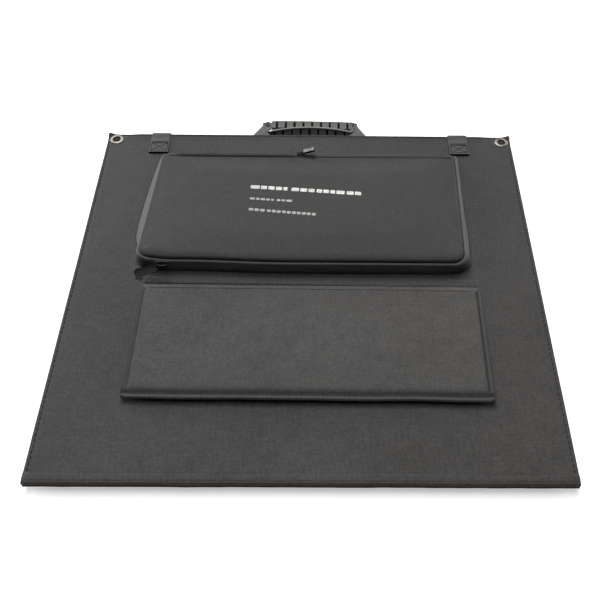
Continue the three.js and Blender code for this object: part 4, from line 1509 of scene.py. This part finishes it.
def zip_slider(zipper, shift, up, scale=1.0):
    """two plates, side walls and a bridge; it travels along X, up is away from the fabric"""
    node = zipper + "_zipper_slider"
    centre = Vector((node_min(node) + node_max(node)) / 2 + np.array(shift))
    along, up = Vector((1, 0, 0)), Vector(up).normalized()
    across = along.cross(up)

    def place(length, width, height):
        return (centre + along * (length * scale) + across * (width * scale)
                + up * (height * scale))

    outline = SLIDER_PLATE + [(length, -width) for length, width in SLIDER_PLATE[::-1]]
    parts = []
    for bottom, top in ((1.55, 2.35), (0.0, 0.7)):
        levels = ((0, 0.94), (0.25, 1.0), (0.75, 1.0), (1, 0.92))  # share of height, size
        parts.append(loft([[place(length * size, width * size, bottom + (top - bottom) * share)
                            for length, width in outline] for share, size in levels]))
    for mirror in (-1, 1):
        parts.append(([place(length, mirror * width, height) for length in (-4.4, 4.4)
                       for width in (2.05, 2.6) for height in (0.4, 1.8)], WALL))
    angles = [math.pi * i / 12 for i in range(13)]
    bridge = [place(4.0 * math.cos(a), 0, 2.1 + 1.5 * math.sin(a)) for a in angles]
    parts.append(tube(bridge, 0.62 * scale))
    obj = make(zipper + "_slider", parts, "slider", smooth=False)
    bake(obj, BEVEL=bevelled(0.12))
    fit(obj, "slider", node, node)


def main_pull():
    """moulded pull: a wire loop at the pivot and a long rounded tab with a recessed face"""
    x, y, z = joint_mm("main_zipper_pull_swing")
    pivot = Vector((x + 3.0, y + 0.6, z + 0.8))
    along, face = Vector((-1, -0.05, -0.31)).normalized(), Vector((0, -0.70, 0.71)).normalized()
    across = along.cross(face)
    start, end, half_w, half_t = 5.2, 35.0, 4.7, 1.4
    middle, length = (start + end) / 2, end - start
    angles = [2 * math.pi * i / 20 for i in range(20)]
    loop = [pivot + along * (3.0 - 3.6 * math.cos(a)) + across * (2.0 * math.sin(a))
            for a in angles]
    shoulder = [(start, -half_w * 0.55), (start + 1.6, -half_w * 0.95)]
    angles = [-math.pi / 2 + math.pi * i / 12 for i in range(13)]
    outline = (shoulder
               + [(end - half_w + half_w * math.cos(a), half_w * math.sin(a)) for a in angles]
               + [(place, -width) for place, width in shoulder[::-1]])
    # (inset of the outline, height in half thicknesses)
    levels = ((1.6, -0.45), (1.25, -1), (0.25, -1), (0.0, -0.6), (0.0, 0.6), (0.25, 1),
              (1.25, 1), (1.6, 0.45))
    rings = [[pivot + along * (middle + (place - middle) * (1 - 2 * inset / length))
              + across * (width * (1 - inset / half_w)) + face * (level * half_t)
              for place, width in outline] for inset, level in levels]
    parts = [tube(loop, 0.5, closed=True), loft(rings)]
    for i in range(5):  # grip ribs on both faces
        base = pivot + along * (start + length * (0.42 + 0.1 * i))
        for sign in (-1, 1):
            parts.append(tube([base + across * (half_w * share) + face * (sign * half_t * 0.55)
                               for share in (-0.5, -0.25, 0, 0.25, 0.5)], 0.3, 6))
    obj = make("main_pull", parts, "pull")

    # painted shade: the rim round the tab's face is darkened almost to black
    def rim(x, y, z):
        spot = Vector((x, y, z)) - pivot
        place, width, inner = spot.dot(along), abs(spot.dot(across)), half_w - 1.3
        on_rim = (place < start + 0.8 or width > inner or place > end - 1.3
                  or math.hypot(max(0.0, place - (end - half_w)), width) > inner)
        return 0.97 if on_rim else 0.0

    paint(obj, rim)
    bake(obj, EDGE_SPLIT=split_at(50))
    fit(obj, "slider", "main_zipper_pull", "main_zipper_pull")


# stations of the top pull: (distance along, half width, bottom, top)
TOP_PULL = [
    (1.6, 1.9, -0.6, 0.3), (2.6, 2.9, -1.3, 0.8), (5.2, 3.3, -2.2, 1.35),
    (8.0, 3.0, -2.5, 0.9), (11.0, 3.1, -2.7, 0.85), (14.0, 3.4, -2.3, 1.3),
    (16.2, 3.3, -1.7, 1.25), (17.2, 2.6, -0.9, 0.7)]


def top_pull():
    """short chunky moulding: a faceted wedge on a wire loop, lying over the slider"""
    tilt = math.radians(18)
    pivot, across = Vector(joint_mm("top_zipper_pull_swing")), Vector((0, 1, 0))
    along = Vector((math.cos(tilt), 0, math.sin(tilt)))
    face = Vector((-math.sin(tilt), 0, math.cos(tilt)))
    node = "top_zipper_pull"

    def place(length, width, height):
        return pivot + along * length + across * width + face * height

    angles = [2 * math.pi * i / 20 for i in range(20)]
    loop = [place(1.4 - 2.6 * math.cos(a), 2.1 * math.sin(a), -0.3) for a in angles]
    rings = [[place(length, width, height) for width, height in (
        (-half, low * 0.4), (-half * 0.72, low), (half * 0.72, low), (half, low * 0.4),
        (half, top * 0.45), (half * 0.62, top), (-half * 0.62, top), (-half, top * 0.45))]
        for length, half, low, top in TOP_PULL]
    # paler plate on its upper face, a painted highlight: four points across, on two levels
    verts = [place(length, half * share, top + rise)
             for length, half, _, top in TOP_PULL[1:-1]
             for rise in (0.0, 0.45) for share in (-0.9, -0.3, 0.3, 0.9)]
    faces, last = [], len(verts) - 8
    for k in range(0, last, 8):
        for j in range(k, k + 3):
            faces += [(j, j + 1, j + 9, j + 8), (j + 4, j + 12, j + 13, j + 5)]
        faces += [(k, k + 8, k + 12, k + 4), (k + 3, k + 7, k + 15, k + 11)]
    faces += [(j, j + 4, j + 5, j + 1) for j in range(3)]
    faces += [(j, j + 1, j + 5, j + 4) for j in range(last, last + 3)]
    plate = make("top_pull_face", [(verts, faces)], "pull_light")
    bake(plate, BEVEL=bevelled(0.2), EDGE_SPLIT=split_at(40))
    fit(plate, "slider", node)
    obj = make("top_pull", [tube(loop, 0.55, closed=True), loft(rings)], "slider")
    bake(obj, BEVEL=bevelled(0.22), EDGE_SPLIT=split_at(35))
    fit(obj, "slider", node, node)


zip_slider("main", shift=(0, -0.6, 0.7), up=(0, -0.94, 0.34), scale=1.45)
main_pull()
zip_slider("top", shift=(0, 0, -1.1), up=(0, 0, 1))
top_pull()


# ---------------------------------------------------------------- straps over the handle edge
def strap(hand, mirror):
    middle, base = mirror * 197.0, Z_TOP + 0.35
    near_y, radius = Y_FAR - 37.0, 3.2
    path = []
    for y in spread(near_y, Y_FAR - 3.2, 2.2):  # sewn end, raised with a soft lip
        lift = 1.5 * math.exp(-(y - near_y) / 4.5)
        sewn = -0.12 if Y_FAR - 34 < y < Y_FAR - 15 else 0.0
        path.append(((middle, y, base + 0.75 + lift + sewn + hem(middle, y)), (0, 0, 1)))
    arc_y, arc_z = Y_FAR - 1.3, base + 0.75 - radius + 1.3
    for i in range(1, 9):
        angle = math.pi / 2 * (1 - i / 8)
        cos, sin = math.cos(angle), math.sin(angle)
        path.append(((middle, arc_y + radius * cos, arc_z + radius * sin), (0, cos, sin)))
    for z in spread(arc_z, Z_MID - 2.4, 2.0)[1:]:
        path.append(((middle, arc_y + radius, z), (0, 1, 0)))
    obj = make(f"closure_webbing_{hand}", [ribbon(path, 25.0, 1.5, segments=10)], "web")
    bake(obj, BEVEL=dict(bevelled(0.3), angle_limit=math.radians(50)))
    set_smooth(obj)
    fit(obj, "webbing", None, f"closure_anchor_{hand}", f"closure_strap_{hand}")
    # under-fold that lifts the end, in near black: a painted shadow in the gap under it
    path = [((middle, y, Z_TOP + 0.55), (0, 0, 1)) for y in spread(near_y + 0.2, Y_FAR - 18, 3)]
    piece(f"closure_underfold_shade_{hand}", [ribbon(path, 25.6, 0.9, segments=4)], "slot",
          "webbing", "upper_half")
    # sewn box with a cross in it, and a line beyond
    x0, x1, y0, y1, y2 = middle - 10.6, middle + 10.6, Y_FAR - 33.5, Y_FAR - 18.5, Y_FAR - 16.0
    parts = []
    for start, end in (
        ((x0, y1), (x1, y1)), ((x1, y1), (x1, y0)), ((x1, y0), (x0, y0)),
        ((x0, y0), (x0, y1)), ((x0, y0), (x1, y1)), ((x0, y1), (x1, y0)),
        ((x0, y2), (x1, y2)),
    ):
        line = drape(obj, trail([(*start, base + 1.55), (*end, base + 1.55)], 2.0))
        parts.append(stitches(line, pitch=2.6, length=2.3, radius=0.42, lift=0.05))
    piece(f"closure_box_stitch_{hand}", parts, "thread_dark", "webbing", "upper_half")
    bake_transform(obj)


for hand in HANDS:
    strap(*hand)


# ---------------------------------------------------------------- carrying handles
def grip(side, material, half_length, centre, half, bow, slot_start, slot_pitch, slot_face,
         softness, shift_x, skew=0.0):
    """moulded grip, bowed outward, with fine ribs and nine slots across it.
    centre: (y beyond Y_FAR, z); half: half sizes in y and z; slot_face: "y" for slots in the
    near and far faces, "z" for top and underside; softness: squareness of the section"""
    stations, sides = 300, 28
    half_y, half_z = half

    def rounded(value):
        return math.copysign(abs(value) ** softness, value)

    angles = [2 * math.pi * i / sides for i in range(sides)]
    section = [(rounded(math.cos(a)), rounded(math.sin(a))) for a in angles]
    slots = [slot_start + i * slot_pitch for i in range(-4, 5)]
    rings, deep = [], []
    for i in range(stations + 1):
        x = -half_length + 2 * half_length * i / stations
        share = abs(x) / half_length
        end = 1.0 - 0.22 * max(0, (share - 0.95) / 0.05) ** 2
        y = Y_FAR + centre[0] + bow * (1 - share * share) + skew * x / half_length
        slot = clamp(1 - (min(abs(x - place) for place in slots) - 1.25) / 0.25)
        rib = 0.16 * (0.5 + 0.5 * math.cos(x * 2 * math.pi / 2.36))
        ring = []
        for unit_y, unit_z in section:
            off_y, off_z, cut = unit_y * half_y * end, unit_z * half_z * end, 0.0
            if slot_face == "y" and abs(unit_y) > 0.7:
                cut = slot * 1.1 if abs(unit_z) < 0.72 else 0.0
                off_y -= math.copysign(min(abs(off_y) * 0.8, cut + rib), off_y)
            if slot_face == "z" and abs(unit_z) > 0.6:
                cut = slot * 2.4 if unit_y < 0.66 else 0.0
                off_z -= math.copysign(min(abs(off_z) * 0.8, cut + rib), off_z)
            ring.append((x + shift_x, y + off_y, centre[1] + off_z))
            deep.append(cut > 0.6)
        rings.append(ring)
    verts, faces = loft(rings)
    obj = make(side + "_grip", [(verts, faces)], material, "slot")
    # faces deep in the slots take the near-black material, painted shade
    obj.data.polygons.foreach_set(
        "material_index", [int(sum(deep[v] for v in face) >= 3) for face in faces])
    bake(obj, EDGE_SPLIT=split_at(42))
    fit(obj, "grip", side + "_handle", side + "_handle_grip")


grip("upper", "grip", half_length=53.5, centre=(7.4, 10.3), half=(1.9, 7.4), bow=8.4,
     slot_start=-1.2, slot_pitch=11.9, slot_face="y", softness=0.55, shift_x=0.6)
grip("lower", "far_grip", half_length=55.3, centre=(27.6, 9.3), half=(7.7, 2.7), bow=0.9,
     slot_start=0.3, slot_pitch=12.0, slot_face="z", softness=0.42, shift_x=2.7, skew=-0.9)

# Webbing patches: thickness, sag, then four corners in order round the patch, as
# (x, y beyond Y_FAR, z); the left one is the mirror image.
UPPER_TABS = (
    (1.5, 1.0, ((53.5, -1.5, 13.35), (78, -1.5, 13.35), (61.8, 24.5, 14.25), (54.0, 9.5, 13.15))),
    # the fold that turns into the grip
    (1.3, 0.3, ((54.0, 5.5, 16.9), (58.0, 7.5, 16.0), (61.0, 22.0, 15.4), (54.2, 9.5, 16.2))),
    (1.3, 0.2, ((52.0, 6.8, 8.6), (57.0, 8.6, 9.0), (58.0, 9.4, 15.6), (52.0, 7.4, 15.6))))
LOWER_TABS = (
    (1.5, 0.4, ((57.5, -1.5, 8.25), (78, -1.5, 8.25), (63.5, 31.0, 8.85), (57.0, 21.0, 8.25))),
    (1.5, 0.25, ((52.5, 20.5, 8.55), (57.5, 18.5, 8.25), (63.5, 31.0, 9.15),
                 (53.0, 34.5, 9.45))))
LOWER_FOLDS = (
    (0.7, 0.9, ((54.5, 26.5, 10.15), (63.0, 24.0, 9.65), (65.0, 32.0, 10.15),
                (55.5, 35.0, 10.65))),)


def tab(mirror, thick, sag, corners):
    """bowed patch of webbing between four corners"""
    columns, rows = 10, 12
    first, second, third, fourth = [Vector((mirror * x, Y_FAR + y, z)) for x, y, z in corners]
    bow, normal = Vector((0, -0.3, 1)).normalized(), Vector((0, -0.25, 1)).normalized()
    middle = []
    for i in range(columns + 1):
        u = i / columns
        for j in range(rows + 1):
            v = j / rows
            point = first.lerp(second, u).lerp(fourth.lerp(third, u), v)
            rise = sag * math.sin(math.pi * v) * (0.6 + 0.4 * math.sin(math.pi * u))
            middle.append(point + bow * rise)
    verts = [p + normal * thick / 2 for p in middle] + [p - normal * thick / 2 for p in middle]
    under, width, faces = len(middle), rows + 1, []
    for i in range(columns):
        for j in range(rows):
            quad = [i * width + j, i * width + j + 1, (i + 1) * width + j + 1,
                    (i + 1) * width + j]
            faces += [tuple(quad), tuple(under + quad[-k] for k in range(4))]
    rim = ([i * width for i in range(columns + 1)]
           + [columns * width + j for j in range(1, width)]
           + [i * width + rows for i in range(columns - 1, -1, -1)]
           + list(range(rows - 1, 0, -1)))
    for here, after in zip(rim, rim[1:] + rim[:1]):
        faces.append((here, under + here, under + after, after))
    return verts, faces


def both_sides(tabs):
    return [tab(mirror, *entry) for mirror in (-1, 1) for entry in tabs]


def handle_web(side, tabs):
    obj = piece(side + "_handle_tabs", both_sides(tabs), "handle_web", "webbing", None,
                side + "_handle_webbing")
    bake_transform(obj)


handle_web("upper", UPPER_TABS)
piece("handle_tab_folds", both_sides(LOWER_FOLDS), "dark_web", "webbing", "lower_handle")
handle_web("lower", LOWER_TABS)

# ---------------------------------------------------------------- print on the pocket
# rows of plain blocks by ink: start and end (x, y of the row's middle), height, then block
# and gap lengths in turn
PRINT = {
    "print": [
        ((-70.7, 119.3), (65.0, 107.5), 6.2,
         (13, 2, 9, 2, 9, 2, 9, 2, 6, 6, 11, 2, 10, 2, 9, 3, 8, 2, 8, 2, 7, 2, 12, 3, 10, 2, 9)),
    ],
    "print_dim": [
        ((-70.5, 97.5), (-19.2, 93.3), 3.6,
         (7, 1.6, 5, 1.6, 6, 1.6, 5, 1.6, 4, 4, 5, 1.6, 5, 1.6, 8)),
        ((-70.5, 78.0), (9.7, 69.2), 4.4, (6, 1.6, 6, 1.6, 6, 3) + (5, 1.6) * 9 + (5,)),
    ],
}


def print_block(corner, along, length, height):
    """rounded block laid on the pocket front; corner is the middle of its left end"""
    across = Vector((-along.y, along.x))
    radius = min(0.9, height / 4)
    right, top = length - radius, height / 2 - radius
    outline = []
    for x, y, start in ((right, -top, -90), (right, top, 0), (radius, top, 90),
                        (radius, -top, 180)):
        for i in range(4):
            angle = math.radians(start + 30 * i)
            spot = (corner + along * (x + radius * math.cos(angle))
                    + across * (y + radius * math.sin(angle)))
            outline.append((spot.x, spot.y, Z_TOP))
    upper = drape(FRONT, outline, lift=0.08)
    count = len(upper)
    faces = [tuple(range(count)), tuple(range(count, 2 * count))[::-1]]
    for j in range(count):
        k = (j + 1) % count
        faces.append((j, count + j, count + k, k))
    return upper + [(x, y, z - 0.1) for x, y, z in upper], faces


for ink, rows in PRINT.items():
    parts = []
    for start, end, height, steps in rows:
        start, end = Vector(start), Vector(end)
        along = (end - start).normalized()
        scale = (end - start).length / sum(steps)
        for i in range(0, len(steps), 2):
            corner = start + along * (sum(steps[:i]) * scale)
            parts.append(print_block(corner, along, steps[i] * scale, height))
    piece("pocket_" + ink, parts, ink, "fabric", "pocket_flap", smooth=False)


# ---------------------------------------------------------------- charge controller and lead
def rounded_box(name, low, high, radius, material):
    mesh = bpy.data.meshes.new(name)
    edit = bmesh.new()
    bmesh.ops.create_cube(edit, size=1.0)
    low, high = Vector(low) / 1000, Vector(high) / 1000
    for vert in edit.verts:
        vert.co = Vector([(low[i] + high[i]) / 2 + vert.co[i] * (high[i] - low[i])
                          for i in range(3)])
    bmesh.ops.bevel(edit, geom=list(edit.edges), offset=radius / 1000, segments=3,
                    affect="EDGES", profile=0.6)
    edit.to_mesh(mesh)
    edit.free()
    obj = add_object(name, mesh)
    mesh.materials.append(MAT[material])
    set_smooth(obj)
    fit(obj, "controller_shell", "upper_half")


def controller():
    for node, key in (("controller_case", "shell"), ("controller_cover", "plate")):
        dress(node, key)
        add_modifier(frame["nodes"][node], "BEVEL", **bevelled(0.6))
    x0, y0, _ = node_min("controller_cover")
    x1, y1, z = node_max("controller_cover")
    rounded_box("controller_display_frame", (x0 + 16, y0 + 26, z - 0.3),
                (x1 - 16, y1 - 6, z + 0.7), 0.5, "shell")
    rounded_box("controller_display", (x0 + 19, y0 + 28.5, z + 0.2),
                (x1 - 19, y1 - 8.5, z + 0.95), 0.3, "lcd")
    head = [(0.01, z + 0.1), (1.9, z + 0.1), (1.9, z + 0.45), (1.5, z + 0.7), (0.01, z + 0.6)]
    screws = [lathe(head, x, y, sides=20) for x in (x0 + 5, x1 - 5) for y in (y0 + 5, y1 - 5)]
    piece("controller_screws", screws, "nickel", "controller_shell", "upper_half")


# (x, y) of the lead, from the controller plug to the output plug
LEAD = np.array([
    (-68, 45), (-100, 38), (-150, 42), (-166, 75), (-140, 112), (-60, 122), (60, 118),
    (140, 112), (160, 78), (140, 44), (108, 38)], float)
# profile of a plug: (share of its length, share of its radius)
PLUG = [(0.0, 0.3), (0.04, 0.85), (0.1, 1.0), (0.3, 1.0), (0.32, 0.86), (0.36, 0.86),
        (0.38, 1.0), (0.44, 1.0), (0.46, 0.86), (0.5, 0.86), (0.52, 1.0), (0.7, 1.0),
        (0.74, 0.8), (0.97, 0.72), (1.0, 0.4)]


def lead():
    """twin-core lead on a Catmull-Rom curve"""
    last, path = len(LEAD) - 1, []
    for i in range(last):
        p0, p1, p2, p3 = LEAD[max(0, i - 1)], LEAD[i], LEAD[i + 1], LEAD[min(last, i + 2)]
        for t in np.linspace(0, 1, 14, endpoint=i == last - 1):
            path.append(0.5 * (2 * p1 + (p2 - p0) * t + (2 * p0 - 5 * p1 + 4 * p2 - p3) * t * t
                               + (-p0 + 3 * p1 - 3 * p2 + p3) * t ** 3))
    parts = []
    for offset in (-1.35, 1.35):
        core = []
        for i, (x, y) in enumerate(path):
            step = path[min(len(path) - 1, i + 1)] - path[max(0, i - 1)]
            along = step / max(1e-9, np.linalg.norm(step))
            core.append((x - along[1] * offset, y + along[0] * offset, Z_TOP + 3.6))
        parts.append(tube(core, 1.5, 10))
    piece("lead_twin_core", parts, "cable", "cable", "upper_half", "output_cable")


def plug(node, from_left):
    x0, y0, z0 = node_min(node)
    x1, y1, z1 = node_max(node)
    start, run = (x0, x1 - x0) if from_left else (x1, x0 - x1)
    points = [(start + run * share, (y0 + y1) / 2, (z0 + z1) / 2) for share, _ in PLUG]
    radii = [(z1 - z0) / 2 * share for _, share in PLUG]
    piece(node + "_body", [tube(points, radii, 20)], "cable", "cable", "upper_half", node)


controller()
lead()
plug("controller_plug", from_left=False)
plug("output_plug", from_left=True)


# ---------------------------------------------------------------- floor, light, camera
def floor():
    half = 6.0
    mesh = bpy.data.meshes.new("floor")
    mesh.from_pydata([(-half, -half, 0), (half, -half, 0), (half, half, 0), (-half, half, 0)],
                     [], [(0, 1, 2, 3)])
    obj = add_object("floor", mesh)
    obj.location.z = -0.0004
    g = Graph(bpy.data.materials.new("floor"))
    g.surface({
        "Base Color": g.ramp(g.noise(1.2, detail=2, rough=0.5),
                             [(0.3, grey(0.86)), (0.7, grey(0.9))]),
        "Roughness": 0.9,
        "Specular IOR Level": 0.2,
        "Emission Color": grey(1),
        "Emission Strength": g.mul(g.camera_ray(), 0.45),
    })
    mesh.materials.append(g.owner)


def area_light(name, place, target, size, power, colour):
    """rectangular light; place, target and size in metres, power in watts"""
    light = bpy.data.lights.new(name, "AREA")
    light.energy = power
    light.color = colour
    light.shape = "RECTANGLE"
    light.size, light.size_y = size
    obj = add_object(name, light)
    obj.location = place
    obj.rotation_euler = (Vector(target) - Vector(place)).to_track_quat("-Z", "Y").to_euler()


def world():
    """dim light for the scene, near white for the camera"""
    scene.world = bpy.data.worlds.new("studio")
    g = Graph(scene.world)
    colour = g.blend(g.camera_ray(), (0.085, 0.086, 0.089), grey(0.93))
    g.fill(g.tree.nodes["Background"], {"Color": colour, "Strength": 1.0})
    scene.view_settings.view_transform = "Standard"
    scene.view_settings.look = "None"


def camera():
    data = bpy.data.cameras.new("camera")
    data.sensor_width = 36
    data.lens = 48
    data.shift_x = -0.0528
    data.shift_y = 0.0001
    data.clip_end = 50
    obj = add_object("camera", data)
    obj.location = (0.01942, -0.5993, 0.72333)
    obj.rotation_euler = [math.radians(angle) for angle in (38.046, -0.69, -0.10)]
    scene.camera = obj


floor()
area_light("key_back", place=(-0.45, 1.25, 1.95), target=(0, 0, 0), size=(1.2, 1.0), power=55,
           colour=(1.0, 1.0, 1.0))
area_light("overhead", place=(-0.1, 0.15, 2.4), target=(0, 0, 0), size=(1.7, 1.7), power=36,
           colour=(1.0, 1.0, 1.0))
area_light("left_low", place=(-1.45, 1.1, 0.46), target=(-0.15, 0.05, 0.02), size=(0.9, 0.5),
           power=22, colour=(0.97, 0.99, 1.0))
area_light("right_low", place=(1.4, 1.15, 0.46), target=(0.15, 0.05, 0.02), size=(0.9, 0.5),
           power=13, colour=(1.0, 0.97, 0.94))
world()
camera()
